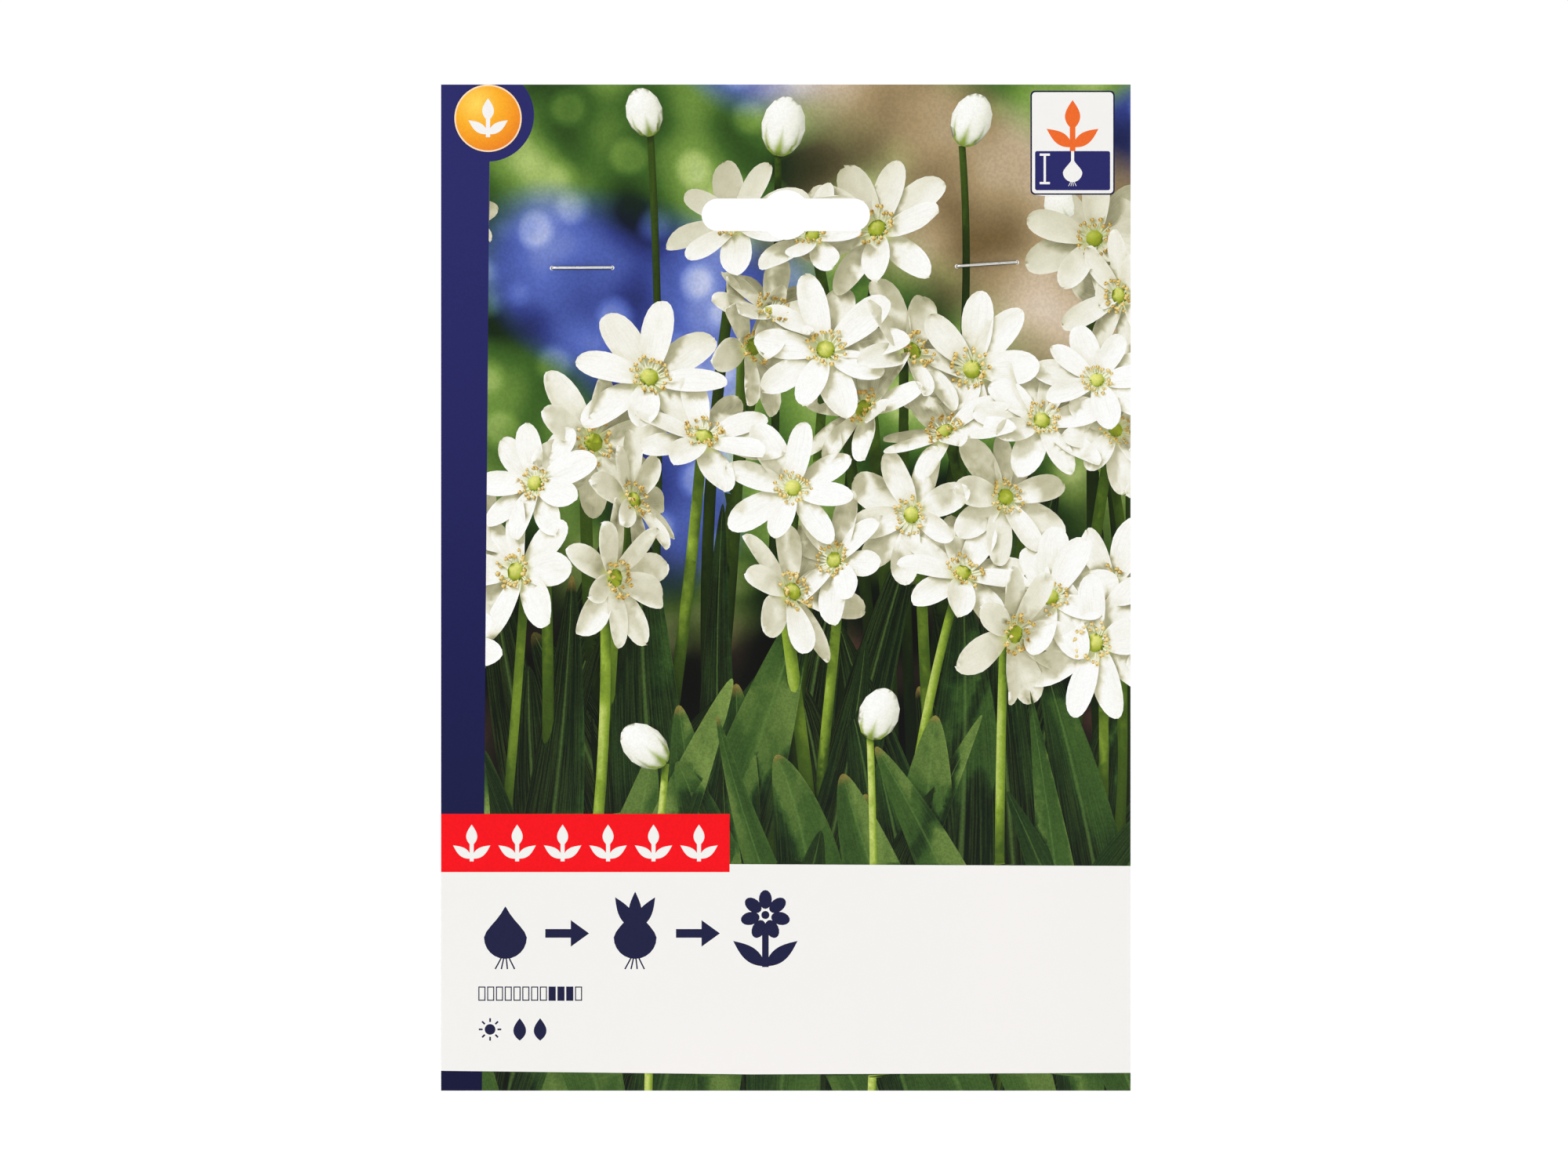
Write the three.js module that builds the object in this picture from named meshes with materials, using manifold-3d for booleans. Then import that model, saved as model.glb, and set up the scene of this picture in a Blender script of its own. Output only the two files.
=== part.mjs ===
// A retail pack of small flower bulbs: a flat printed board card with a hang slot, and behind
// it a clear film bag of twelve bulbs, held to the card by two wire staples.
//
// Millimetres, +Z up and +X to the right of someone who faces the printed side, which looks
// along -Y. The origin is the centre of the hang slot, half way through the board.
import * as THREE from "three";
import { mergeVertices } from "three/addons/utils/BufferGeometryUtils.js";
import Module from "manifold-3d";

const wasm = await Module();
wasm.setup();

// Card: solid bleached board with square corners
const CARD_WIDTH = 135;
const CARD_HEIGHT = 197;
const BOARD = 0.5;
const CARD_TOP = 25.5;

// Hang slot: a long slot with a round eye in its middle, so the card centres itself on a peg
const SLOT_LENGTH = 33;
const SLOT_HEIGHT = 6.4;
const EYE_RADIUS = 4.9;

// Staples: the crown shows on the printed side, the legs fold inwards behind the bag
const WIRE = 0.6;
const CROWN = 12.4;
const BEND_RADIUS = 0.65;
const LEG_TIP_GAP = 2.8;
const LEG_HOLE_CLEARANCE = 0.3;
const STAPLES = [
  { name: "staple_left", x: -39.9, z: -10.4, turn: 0.3 },
  { name: "staple_right", x: 39.4, z: -9.7, turn: 3.8 },
];

// Bag: a flat film tube with sealed edges, and a flat mouth that the staples close
const BAG_WIDTH = 112;
const BAG_TOP = -5.6;
const BAG_BOTTOM = -157;
const SEAL = 3.5;
const FILM = 0.35;
const BELLY_DEPTH = 26.5;
const BELLY_FOOT = 16; // height over which the belly rounds out of the bottom seal
const BELLY_SHOULDER = -80; // above this the belly narrows towards the mouth
const BELLY_END = -18;
const VENT_RADIUS = 1.5;
const VENT_COLUMNS = [-42, -14, 14, 42];
const VENT_ROWS = [-34, -62, -92, -122];

// Bulbs: rows of a loose hexagonal heap that fills the foot of the bag
const BULB_RADIUS = 11.9;
const BULB_HEIGHT = 27.5;
const BULB_PITCH = 24.9;
const ROW_PITCH = 22;
const ROW_COUNTS = [4, 3, 4, 1];
const LONE_BULB_SHIFT = 1; // the top bulb lies in the gap to the right of the middle
const HEAP_FOOT = 14.6; // from the bottom seal to the middle of the lowest row
const SMALLEST_BULB = 0.94; // share of full size
const SIZE_STEP = 0.02;
const SIZES = 4;
const MIDDLE_HEIGHT = 0.43; // where a bulb is thickest, as a share of its height
const BULB_CLEARANCE = 0.3;

// Faces that touch in the real pack stand this far apart
const GAP = 0.1;
const WELD = 1e-4;

const CARD_BACK = BOARD / 2;
const BAG_FRONT = CARD_BACK + GAP;
const MOUTH_BACK = BAG_FRONT + 2 * FILM;
const CAVITY_FRONT = BAG_FRONT + FILM;
const WIRE_FRONT = -(BOARD / 2 + GAP + WIRE / 2);
const WIRE_BACK = MOUTH_BACK + GAP + WIRE / 2;
const LEG_SPREAD = (CROWN - WIRE) / 2;
const SEAM_BOTTOM = BAG_BOTTOM + SEAL;

const paint = (color, roughness, metalness = 0) =>
  new THREE.MeshStandardMaterial({ color, roughness, metalness });
const boardFinish = paint(0xf4f2ee, 0.45);
const steel = paint(0xc9c9c6, 0.3, 1);
const clearFilm = paint(0xe8eef0, 0.15);
clearFilm.transparent = true;
clearFilm.opacity = 0.35;
const bulbSkin = paint(0x8a6a63, 0.75);

// A closed three.js geometry as a solid that can be cut and joined
function solidOf(geometry) {
  const bare = geometry.clone();
  bare.deleteAttribute("normal");
  bare.deleteAttribute("uv");
  const merged = mergeVertices(bare, WELD);
  const corners = [];
  for (let i = 0; i < merged.index.count; i += 3) {
    const [a, b, c] = merged.index.array.slice(i, i + 3);
    if (a !== b && b !== c && c !== a) corners.push(a, b, c);
  }
  return new wasm.Manifold(
    new wasm.Mesh({
      numProp: 3,
      vertProperties: merged.attributes.position.array,
      triVerts: new Uint32Array(corners),
    }),
  );
}

function geometryOf(solid) {
  const mesh = solid.getMesh();
  const geometry = new THREE.BufferGeometry();
  const positions = new THREE.BufferAttribute(mesh.vertProperties, 3);
  geometry.setAttribute("position", positions);
  geometry.setIndex(new THREE.BufferAttribute(mesh.triVerts, 1));
  geometry.computeVertexNormals();
  return geometry;
}

function named(name, geometry, material) {
  const mesh = new THREE.Mesh(geometry, material);
  mesh.name = name;
  return mesh;
}

// Where a staple's two legs go through the card and the bag's mouth, as points in x and z
function legPlaces({ x, z, turn }) {
  const angle = THREE.MathUtils.degToRad(turn);
  return [-1, 1].map(
    (side) =>
      new THREE.Vector2(
        x + side * LEG_SPREAD * Math.cos(angle),
        z + side * LEG_SPREAD * Math.sin(angle),
      ),
  );
}

const legHoles = STAPLES.flatMap(legPlaces);
const legHoleRadius = WIRE / 2 + LEG_HOLE_CLEARANCE;

function hangSlot() {
  const half = SLOT_HEIGHT / 2;
  const endCentre = SLOT_LENGTH / 2 - half;
  const eyeHalf = Math.sqrt(EYE_RADIUS ** 2 - half ** 2);
  const eyeAngle = Math.asin(half / EYE_RADIUS);
  const path = new THREE.Path();
  path.absarc(-endCentre, 0, half, Math.PI / 2, (3 * Math.PI) / 2);
  path.lineTo(-eyeHalf, -half);
  path.absarc(0, 0, EYE_RADIUS, Math.PI + eyeAngle, 2 * Math.PI - eyeAngle);
  path.lineTo(endCentre, -half);
  path.absarc(endCentre, 0, half, -Math.PI / 2, Math.PI / 2);
  path.lineTo(eyeHalf, half);
  path.absarc(0, 0, EYE_RADIUS, eyeAngle, Math.PI - eyeAngle);
  path.lineTo(-endCentre, half);
  return path;
}

function card() {
  const right = CARD_WIDTH / 2;
  const bottom = CARD_TOP - CARD_HEIGHT;
  const outline = new THREE.Shape();
  outline.moveTo(-right, bottom);
  outline.lineTo(right, bottom);
  outline.lineTo(right, CARD_TOP);
  outline.lineTo(-right, CARD_TOP);
  outline.closePath();
  outline.holes.push(hangSlot());
  for (const place of legHoles) {
    const hole = new THREE.Path();
    hole.absarc(place.x, place.y, legHoleRadius, 0, 2 * Math.PI, true);
    outline.holes.push(hole);
  }
  const board = new THREE.ExtrudeGeometry(outline, {
    depth: BOARD,
    bevelEnabled: false,
    curveSegments: 8,
  });
  board.rotateX(Math.PI / 2);
  board.translate(0, BOARD / 2, 0);
  return named("card", geometryOf(solidOf(board)), boardFinish);
}

// A staple's centre line in x and y, from one leg's tip over the crown to the other's
function stapleLine() {
  const corner = (x, y) => new THREE.Vector3(x, y, 0);
  const line = new THREE.CurvePath();
  const turns = [
    corner(-LEG_SPREAD, WIRE_BACK),
    corner(-LEG_SPREAD, WIRE_FRONT),
    corner(LEG_SPREAD, WIRE_FRONT),
    corner(LEG_SPREAD, WIRE_BACK),
  ];
  const tips = [
    corner(-LEG_TIP_GAP / 2, WIRE_BACK),
    corner(LEG_TIP_GAP / 2, WIRE_BACK),
  ];
  const points = [tips[0], ...turns, tips[1]];
  let from = points[0];
  for (let i = 1; i < points.length - 1; i += 1) {
    const into = points[i - 1].clone().sub(points[i]).setLength(BEND_RADIUS);
    const out = points[i + 1].clone().sub(points[i]).setLength(BEND_RADIUS);
    const start = points[i].clone().add(into);
    const end = points[i].clone().add(out);
    line.add(new THREE.LineCurve3(from, start));
    line.add(new THREE.QuadraticBezierCurve3(start, points[i], end));
    from = end;
  }
  line.add(new THREE.LineCurve3(from, points[points.length - 1]));
  return line;
}

function staple({ name, x, z, turn }) {
  const section = new THREE.Shape();
  section.absarc(0, 0, WIRE / 2, 0, 2 * Math.PI);
  const wire = new THREE.ExtrudeGeometry(section, {
    extrudePath: stapleLine(),
    steps: 56,
    curveSegments: 4,
    bevelEnabled: false,
  });
  const mesh = named(name, geometryOf(solidOf(wire)), steel);
  mesh.position.set(x, 0, z);
  mesh.rotation.y = -THREE.MathUtils.degToRad(turn);
  return mesh;
}

// How deep the bag bulges at a place, with its soft edges moved out by a margin
function belly(x, z, margin) {
  const halfWidth = BAG_WIDTH / 2 - SEAL + margin;
  const foot = z - (SEAM_BOTTOM - margin);
  const end = BELLY_END + margin;
  const across = Math.abs(x) / halfWidth;
  if (across >= 1 || foot <= 0 || z >= end) return 0;
  const sides = (1 - across ** 6) ** (1 / 3);
  const rise = Math.min(1, foot / BELLY_FOOT);
  const bottom = (1 - (1 - rise) ** 3) ** (1 / 3);
  const narrowing = THREE.MathUtils.smoothstep(z, BELLY_SHOULDER, end);
  return BELLY_DEPTH * sides * bottom * (1 - narrowing);
}

// Steps from low to high that crowd together at both ends, where the bag curves most
function crowded(low, high, count) {
  const steps = [];
  for (let i = 0; i <= count; i += 1) {
    const share = (1 - Math.cos((Math.PI * i) / count)) / 2;
    steps.push(THREE.MathUtils.lerp(low, high, share));
  }
  return steps;
}

// The closed skin round the space between two heights, near and far in y, over a grid
function skinBetween(xs, zs, near, far) {
  const positions = [];
  const put = (x, z, y) => positions.push(x, y(x, z), z) / 3 - 1;
  const nearRows = zs.map((z) => xs.map((x) => put(x, z, near)));
  const farRows = zs.map((z) => xs.map((x) => put(x, z, far)));
  const corners = [];
  for (let j = 0; j < zs.length - 1; j += 1) {
    for (let i = 0; i < xs.length - 1; i += 1) {
      const ring = [
        [j, i],
        [j, i + 1],
        [j + 1, i + 1],
        [j + 1, i],
      ];
      const [a, b, c, d] = ring.map(([row, column]) => nearRows[row][column]);
      const [e, f, g, h] = ring.map(([row, column]) => farRows[row][column]);
      corners.push(a, b, c, a, c, d, e, g, f, e, h, g);
    }
  }
  const last = xs.length - 1;
  const top = zs.length - 1;
  const edge = [
    ...xs.slice(0, last).map((_, i) => [0, i]),
    ...zs.slice(0, top).map((_, j) => [j, last]),
    ...xs.slice(0, last).map((_, i) => [top, last - i]),
    ...zs.slice(0, top).map((_, j) => [top - j, 0]),
  ];
  edge.forEach(([row, column], k) => {
    const [nextRow, nextColumn] = edge[(k + 1) % edge.length];
    const a = nearRows[row][column];
    const b = farRows[row][column];
    const c = farRows[nextRow][nextColumn];
    const d = nearRows[nextRow][nextColumn];
    corners.push(a, b, c, a, c, d);
  });
  const geometry = new THREE.BufferGeometry();
  geometry.setAttribute(
    "position",
    new THREE.Float32BufferAttribute(positions, 3),
  );
  geometry.setIndex(corners);
  return geometry;
}

// A round punch along y through one place, from one depth to another
function punch(x, z, radius, from, to) {
  const tool = new THREE.CylinderGeometry(radius, radius, to - from, 12);
  tool.translate(x, (from + to) / 2, z);
  return solidOf(tool);
}

function filmBag() {
  const half = BAG_WIDTH / 2;
  const inner = half - SEAL;
  const outerX = [-half, ...crowded(-inner - FILM, inner + FILM, 20), half];
  const outerZ = [
    BAG_BOTTOM,
    ...crowded(SEAM_BOTTOM - FILM, BELLY_END + FILM, 22),
    BAG_TOP,
  ];
  const outside = skinBetween(
    outerX,
    outerZ,
    () => BAG_FRONT,
    (x, z) => MOUTH_BACK + belly(x, z, FILM),
  );
  const inside = skinBetween(
    crowded(-inner, inner, 20),
    crowded(SEAM_BOTTOM, BELLY_END, 22),
    () => CAVITY_FRONT,
    (x, z) => CAVITY_FRONT + belly(x, z, 0),
  );
  let bag = solidOf(outside).subtract(solidOf(inside));
  const ventStart = CAVITY_FRONT + 2 * FILM;
  const clear = MOUTH_BACK + BELLY_DEPTH + FILM;
  for (const x of VENT_COLUMNS) {
    for (const z of VENT_ROWS) {
      bag = bag.subtract(punch(x, z, VENT_RADIUS, ventStart, clear));
    }
  }
  for (const { x, y } of legHoles) {
    bag = bag.subtract(punch(x, y, legHoleRadius, 0, clear));
  }
  return named("film_bag", geometryOf(bag), clearFilm);
}

// Half outline of a bulb, from its basal plate over the round body to the blunt nose
function bulbOutline() {
  const BODY_SHARE = 2 * MIDDLE_HEIGHT;
  const NOSE_START = 0.6;
  const NOSE_RADIUS = 0.36;
  const POINTS = 11;
  const outline = [new THREE.Vector2(0, 0)];
  for (let i = 0; i < POINTS; i += 1) {
    const height = 0.02 + (0.96 * (1 - Math.cos((Math.PI * i) / POINTS))) / 2;
    const body = 1 - ((2 * height) / BODY_SHARE - 1) ** 2;
    const up = Math.max(0, (height - NOSE_START) / (1 - NOSE_START));
    const nose = height > NOSE_START ? NOSE_RADIUS * (1 - up) ** 0.7 : 0;
    const radius = Math.max(Math.sqrt(Math.max(0, body)), nose);
    outline.push(
      new THREE.Vector2(BULB_RADIUS * radius, BULB_HEIGHT * height),
    );
  }
  outline.push(new THREE.Vector2(0, BULB_HEIGHT));
  return outline;
}

// Places and attitudes of the bulbs: turn is in the bag's plane from nose up, and lean tips
// the nose away from the card
function heap() {
  const TURNS = [-14, 58, -64, 12, 118, 4, -60, -122, 60, 0, 62, 16];
  const LEANS = [8, 14, -6, 10, 12, 16, -8, 10, 6, 12, -4, 14];
  const bulbs = [];
  ROW_COUNTS.forEach((count, row) => {
    for (let column = 0; column < count; column += 1) {
      const i = bulbs.length;
      const middle = count > 1 ? (count - 1) / 2 : -LONE_BULB_SHIFT;
      bulbs.push({
        name: `bulb_${String(i + 1).padStart(2, "0")}`,
        x: (column - middle) * BULB_PITCH,
        z: SEAM_BOTTOM + HEAP_FOOT + row * ROW_PITCH,
        turn: THREE.MathUtils.degToRad(TURNS[i]),
        lean: THREE.MathUtils.degToRad(LEANS[i]),
        size: SMALLEST_BULB + SIZE_STEP * (i % SIZES),
      });
    }
  });
  return bulbs;
}

const bulbShape = new THREE.LatheGeometry(bulbOutline(), 16);
bulbShape.rotateX(Math.PI / 2);
bulbShape.translate(0, 0, -MIDDLE_HEIGHT * BULB_HEIGHT);
const bulbGeometry = geometryOf(solidOf(bulbShape));

function bulb({ name, x, z, turn, lean, size }) {
  const mesh = named(name, bulbGeometry, bulbSkin);
  const depth = CAVITY_FRONT + BULB_CLEARANCE + BULB_RADIUS;
  mesh.position.set(x, depth, z);
  mesh.rotation.set(-lean, turn, 0, "YXZ");
  mesh.scale.setScalar(size);
  return mesh;
}

const pack = new THREE.Group();
pack.add(card(), ...STAPLES.map(staple), filmBag(), ...heap().map(bulb));

export default pack;
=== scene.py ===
"""Looks of a hanging pack of flower bulbs: its printed card, staples, film bag and bulbs.

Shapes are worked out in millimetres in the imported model's frame, +Z up and the printed side
facing -Y, and made in metres. The print is laid out in millimetres from the card's upper left
corner, x to the right and y up.
"""

import math
import random

import bmesh
import bpy
import numpy as np
from mathutils import Matrix, Vector, noise
from mathutils.bvhtree import BVHTree
from mathutils.geometry import barycentric_transform, delaunay_2d_cdt


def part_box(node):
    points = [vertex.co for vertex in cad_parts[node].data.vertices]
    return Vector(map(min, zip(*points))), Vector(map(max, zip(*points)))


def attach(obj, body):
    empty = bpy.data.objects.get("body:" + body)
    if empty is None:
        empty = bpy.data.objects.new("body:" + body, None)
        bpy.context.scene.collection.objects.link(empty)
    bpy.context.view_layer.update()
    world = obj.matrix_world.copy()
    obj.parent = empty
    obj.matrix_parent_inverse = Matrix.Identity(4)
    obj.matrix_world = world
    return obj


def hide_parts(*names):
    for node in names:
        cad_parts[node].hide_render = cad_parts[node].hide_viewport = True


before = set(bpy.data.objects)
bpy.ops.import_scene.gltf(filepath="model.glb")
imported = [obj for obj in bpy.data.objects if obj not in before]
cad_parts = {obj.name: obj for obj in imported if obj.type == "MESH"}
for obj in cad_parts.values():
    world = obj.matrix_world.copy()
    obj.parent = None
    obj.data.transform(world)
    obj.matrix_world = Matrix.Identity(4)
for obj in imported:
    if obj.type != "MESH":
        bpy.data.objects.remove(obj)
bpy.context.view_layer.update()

MM = 0.001


def box(name):
    """A CAD node's lowest and highest corners."""
    return [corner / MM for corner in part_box(name)]


card_low, card_high = box("card")
bag_low, bag_high = box("film_bag")
CARD_WIDTH = card_high.x - card_low.x
CARD_HEIGHT = card_high.z - card_low.z

# Camera and lamps are in metres: the middle of the card, and the width that the photograph
# spans. The photograph's own size, and where the card's middle is in it, are in pixels.
CARD_MIDDLE = Vector((0, 0, (card_low.z + card_high.z) / 2 * MM))
VIEW_WIDTH = 0.307
PHOTO_WIDTH = 2000
PHOTO_HEIGHT = 1500
CARD_CENTRE_PIXEL = (1002.3, 749.5)

# Print layout. A disc is its middle and radius, and a box its left, right, top and bottom
BAND_TOP = 9.6
BAND_BOTTOM = 8.0
COLLAR = (9.1, -6.0, 9.1)
DISC = (9.2, -6.6, 6.3)
LABEL = (0, 56.5, -142.8, -154.2)
PANEL_TOP = (-152.4, -153.0)
PANEL_BOTTOM = (-193.1, -193.8, -193.5)
TILE = (115.4, 131.9, -1.2, -21.6)
SLOT_CENTRE = (CARD_WIDTH / 2, -card_high.z)
SLOT_LENGTH = 33
SLOT_HEIGHT = 6.4
EYE_RADIUS = 4.9
LEG_HOLE = 0.42

# How high over the card's face things are piled: the picture's surfaces stay under the first
GARDEN_TOP = 59
PRINT_LEVEL = 60
CUT_LEVEL = 90
SIGHT_LEVEL = 120

# Staples: the wire's width, the depth that it is pressed to, and its tips' reach from the middle
WIRE = 0.6
CROWN_DEPTH = 0.46
TIP_GAP = 1.4


def staple_ends(name):
    """Where a staple's crown bends into its left and right leg. Its right end is the higher."""
    low, high = box(name)
    middle = (low + high) / 2
    reach = Vector((high.x - low.x - WIRE, 0, high.z - low.z - WIRE)) / 2
    return middle - reach, middle + reach


STAPLE_ENDS = {name: staple_ends(name) for name in ("staple_left", "staple_right")}

# Bag: thickness of the film and of its welds, the welds' width, where the welded mouth starts,
# how deep the full bag is, and the middle and radius of each air hole and leg hole
FILM = 0.06
SEAL_FILM = 0.14
SEAL = 3.5
MOUTH_FOOT = -18
BELLY = 25
VENT_RADIUS = 1.5
VENTS = [(Vector((x, z)), VENT_RADIUS) for x in (-42, -14, 14, 42) for z in (-34, -62, -92, -122)]
LEG_HOLES = [(place.xz, LEG_HOLE) for ends in STAPLE_ENDS.values() for place in ends]
HOLES = VENTS + LEG_HOLES

# Where a bulb is thickest, as a share of its height
THICKEST = 0.43

GOLDEN_ANGLE = math.pi * (3 - math.sqrt(5))


def srgb(red, green, blue):
    """A colour from its 0 to 255 values, as the shaders want it."""
    parts = [channel / 255 for channel in (red, green, blue)]
    return (*[p / 12.92 if p <= 0.04045 else ((p + 0.055) / 1.055) ** 2.4 for p in parts], 1.0)


def operator(operation, reflected=False):
    """A method that adds a Math node for two operands, swapped in a reflected operator."""
    def add_node(self, other):
        operands = (other, self) if reflected else (self, other)
        return self.finish.add("Math", {"operation": operation}, dict(enumerate(operands)))

    return add_node


class Value:
    """A shader socket. Python's operators on it add Math nodes."""

    def __init__(self, finish, socket):
        self.finish = finish
        self.socket = socket

    __add__, __radd__ = operator("ADD"), operator("ADD", True)
    __sub__, __rsub__ = operator("SUBTRACT"), operator("SUBTRACT", True)
    __mul__, __rmul__ = operator("MULTIPLY"), operator("MULTIPLY", True)
    __truediv__, __rtruediv__ = operator("DIVIDE"), operator("DIVIDE", True)
    __pow__, __rpow__ = operator("POWER"), operator("POWER", True)
    least = operator("MINIMUM")
    most = operator("MAXIMUM")

    def __abs__(self):
        return self.finish.add("Math", {"operation": "ABSOLUTE"}, {0: self})

    def sine(self):
        return self.finish.add("Math", {"operation": "SINE"}, {0: self})

    def between(self, low, high, start=0.0, end=1.0):
        """This value's smooth step from start at low to end at high."""
        settings = {"interpolation_type": "SMOOTHSTEP"}
        inputs = {0: self, 1: low, 2: high, 3: start, 4: end}
        return self.finish.add("MapRange", settings, inputs)

    def axis(self, name):
        """One part, X, Y or Z, of a vector."""
        return self.finish.add("SeparateXYZ", {}, {0: self}, name)


class Finish:
    """A material under construction. Constants are set on its Principled shader at once."""

    def __init__(self, name, **constants):
        self.material = bpy.data.materials.new(name)
        self.material.use_nodes = True
        self.tree = self.material.node_tree
        self.shader = self.tree.nodes["Principled BSDF"]
        self.set(**constants)

    def add(self, kind, settings, inputs, output=0):
        """One node: its type, its settings, its sockets' values or links, and which output."""
        node = self.tree.nodes.new("ShaderNode" + kind)
        for name, setting in settings.items():
            if name == "stops":
                self.set_stops(node.color_ramp, setting)
            else:
                setattr(node, name, setting)
        for key, value in inputs.items():
            self.feed(node.inputs[key], value)
        return Value(self, node.outputs[output])

    @staticmethod
    def set_stops(ramp, stops):
        while len(ramp.elements) < len(stops):
            ramp.elements.new(1.0)
        for element, (position, *colour) in zip(ramp.elements, stops):
            element.position = position
            element.color = srgb(*colour)

    def feed(self, socket, value):
        if isinstance(value, Value):
            self.tree.links.new(value.socket, socket)
        else:
            socket.default_value = value

    def set(self, **sockets):
        """Feeds the shader's sockets, each a constant or what changes over the surface."""
        for name, value in sockets.items():
            self.feed(self.shader.inputs[name.replace("_", " ")], value)
        return self.material

    def mix(self, factor, first, second, blend="MIX"):
        """Mixes two colours, each a value or its 0 to 255 channels."""
        first, second = (srgb(*c) if isinstance(c, tuple) else c for c in (first, second))
        settings = {"data_type": "RGBA", "blend_type": blend}
        return self.add("Mix", settings, {0: factor, 6: first, 7: second}, 2)

    def ramp(self, factor, *stops):
        """A colour that follows a factor. Each stop is its place and its 0 to 255 channels."""
        return self.add("ValToRGB", {"stops": stops}, {0: factor})

    def place(self):
        """Where on the part a point is, in metres."""
        return self.add("TexCoord", {}, {}, "Object")

    def stored(self, name):
        """The three parts of a vector that the mesh itself holds."""
        vector = self.add("Attribute", {"attribute_name": name}, {}, "Vector")
        return [vector.axis(part) for part in "XYZ"]

    def vector(self, *parts):
        return self.add("CombineXYZ", {}, dict(enumerate(parts)))

    def stretched(self, vector, scale):
        return self.add("VectorMath", {"operation": "MULTIPLY"}, {0: vector, 1: scale})

    def moved(self, vector, offset):
        return self.add("VectorMath", {"operation": "ADD"}, {0: vector, 1: offset})

    def noise(self, vector, scale, detail=2.0, roughness=0.5, distortion=0.0):
        inputs = {"Vector": vector, "Scale": scale, "Detail": detail}
        inputs.update({"Roughness": roughness, "Distortion": distortion})
        return self.add("TexNoise", {}, inputs)

    def cells(self, vector, scale, feature="F1", **inputs):
        inputs.update({"Vector": vector, "Scale": scale})
        return self.add("TexVoronoi", {"feature": feature}, inputs)

    def bump(self, height, distance, strength):
        inputs = {"Height": height, "Distance": distance, "Strength": strength}
        return self.add("Bump", {}, inputs, "Normal")


class Surround(Finish):
    """The light all round the scene, built up like a finish."""

    def __init__(self):
        self.material = bpy.data.worlds.new("surround")
        self.material.use_nodes = True
        self.tree = self.material.node_tree
        self.shader = self.tree.nodes["Background"]


def middle_of(points):
    return sum(points[1:], points[0]) / len(points)


def sides(outline):
    """Each corner of a closed outline with the next one."""
    return zip(outline, outline[1:] + outline[:1])


def renumbered(edges):
    """The corners that edges have, and the edges with each corner's place in that list."""
    corners = list(dict.fromkeys(v for edge in edges for v in edge))
    number = {v: k for k, v in enumerate(corners)}
    return corners, [[number[v] for v in edge] for edge in edges]


def triangulated(points, edges, gap=1e-3):
    """Points, edges and triangles that fill the plane. Points within the gap are joined."""
    found = delaunay_2d_cdt(points, edges, [], 0, gap)
    kept = [edge for edge, origins in zip(found[1], found[4]) if origins]
    return found[0], kept, found[2]


def smooth_step(value, low, high):
    share = min(1, max(0, (value - low) / (high - low)))
    return share * share * (3 - 2 * share)


def smooth_normals(places, triangles):
    """Each place's direction square to the surface, on the side that sees it anticlockwise."""
    sums = [Vector() for _ in places]
    for a, b, c in triangles:
        across = (places[b] - places[a]).cross(places[c] - places[a])
        for corner in (a, b, c):
            sums[corner] += across
    return [across.normalized() for across in sums]


def in_print(place):
    """A place of the part in the print's own measure."""
    return place.x - card_low.x, place.z - card_high.z


class Pile:
    """Surfaces piled up over the card's face, which the print shows from straight in front.

    A patch is one surface with its own number and kind. Each of its points knows its place
    on it: along from 0 to 1, across from -1 to 1, and the patch's own seed.
    """

    def __init__(self):
        self.points = []
        self.places = []
        self.triangles = []
        self.patch_of = []
        self.kind_of = []

    def point(self, position, place):
        self.points.append(position)
        self.places.append(place)
        return len(self.points) - 1

    def triangle(self, *corners):
        if len(set(corners)) == 3:
            self.triangles.append(corners)
            self.patch_of.append(len(self.kind_of) - 1)

    def patch(self, kind, rows, columns, surface, seed=0.0):
        """Adds surface(along, across) as a grid whose rows crowd together at both ends."""
        self.kind_of.append(kind)
        grid = []
        for i in range(rows + 1):
            along = (1 - math.cos(math.pi * i / rows)) / 2
            row = []
            for j in range(columns + 1):
                across = 2 * j / columns - 1
                position = surface(along, across)
                if row and (position - self.points[row[-1]]).length < 1e-6:
                    row.append(row[-1])
                else:
                    row.append(self.point(position, Vector((along, across, seed))))
            grid.append(row)
        for low, high in zip(grid, grid[1:]):
            for j in range(columns):
                self.triangle(low[j], low[j + 1], high[j + 1])
                self.triangle(low[j], high[j + 1], high[j])

    def flat(self, kind, level, *outlines):
        """Adds flat shapes, each with a middle from which its whole outline can be seen."""
        for outline in outlines:
            self.kind_of.append(kind)
            corners = [Vector((x, y, level)) for x, y in outline]
            hub = self.point(middle_of(corners), Vector())
            ring = [self.point(corner, Vector()) for corner in corners]
            for start, end in sides(ring):
                self.triangle(hub, start, end)

    def tree(self):
        return BVHTree.FromPolygons(self.points, self.triangles)

    def seen_edges(self, tree):
        """The edges where a patch ends or turns away, as far as nothing lies over them."""
        known = {}
        for triangle in self.triangles:
            a, b, c = (self.points[corner] for corner in triangle)
            faces_us = (b - a).cross(c - a).z > 0
            for edge in sides(triangle):
                known.setdefault(tuple(sorted(edge)), []).append(faces_us)
        for (a, b), facing_us in known.items():
            if len(facing_us) > 1 and facing_us[0] == facing_us[1]:
                continue
            middle = (self.points[a] + self.points[b]) / 2
            hit = look(tree, middle)[0]
            if middle.z > GARDEN_TOP or hit is None or hit.z < middle.z + 0.05:
                yield a, b


def look(tree, place):
    """What a straight look at the card meets: its place, normal, triangle and distance."""
    return tree.ray_cast(Vector((place.x, place.y, SIGHT_LEVEL)), Vector((0, 0, -1)))


def bend(start, middle, end, share):
    """A point on the curve from start to end that is drawn towards middle."""
    return start.lerp(middle, share).lerp(middle.lerp(end, share), share)


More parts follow.
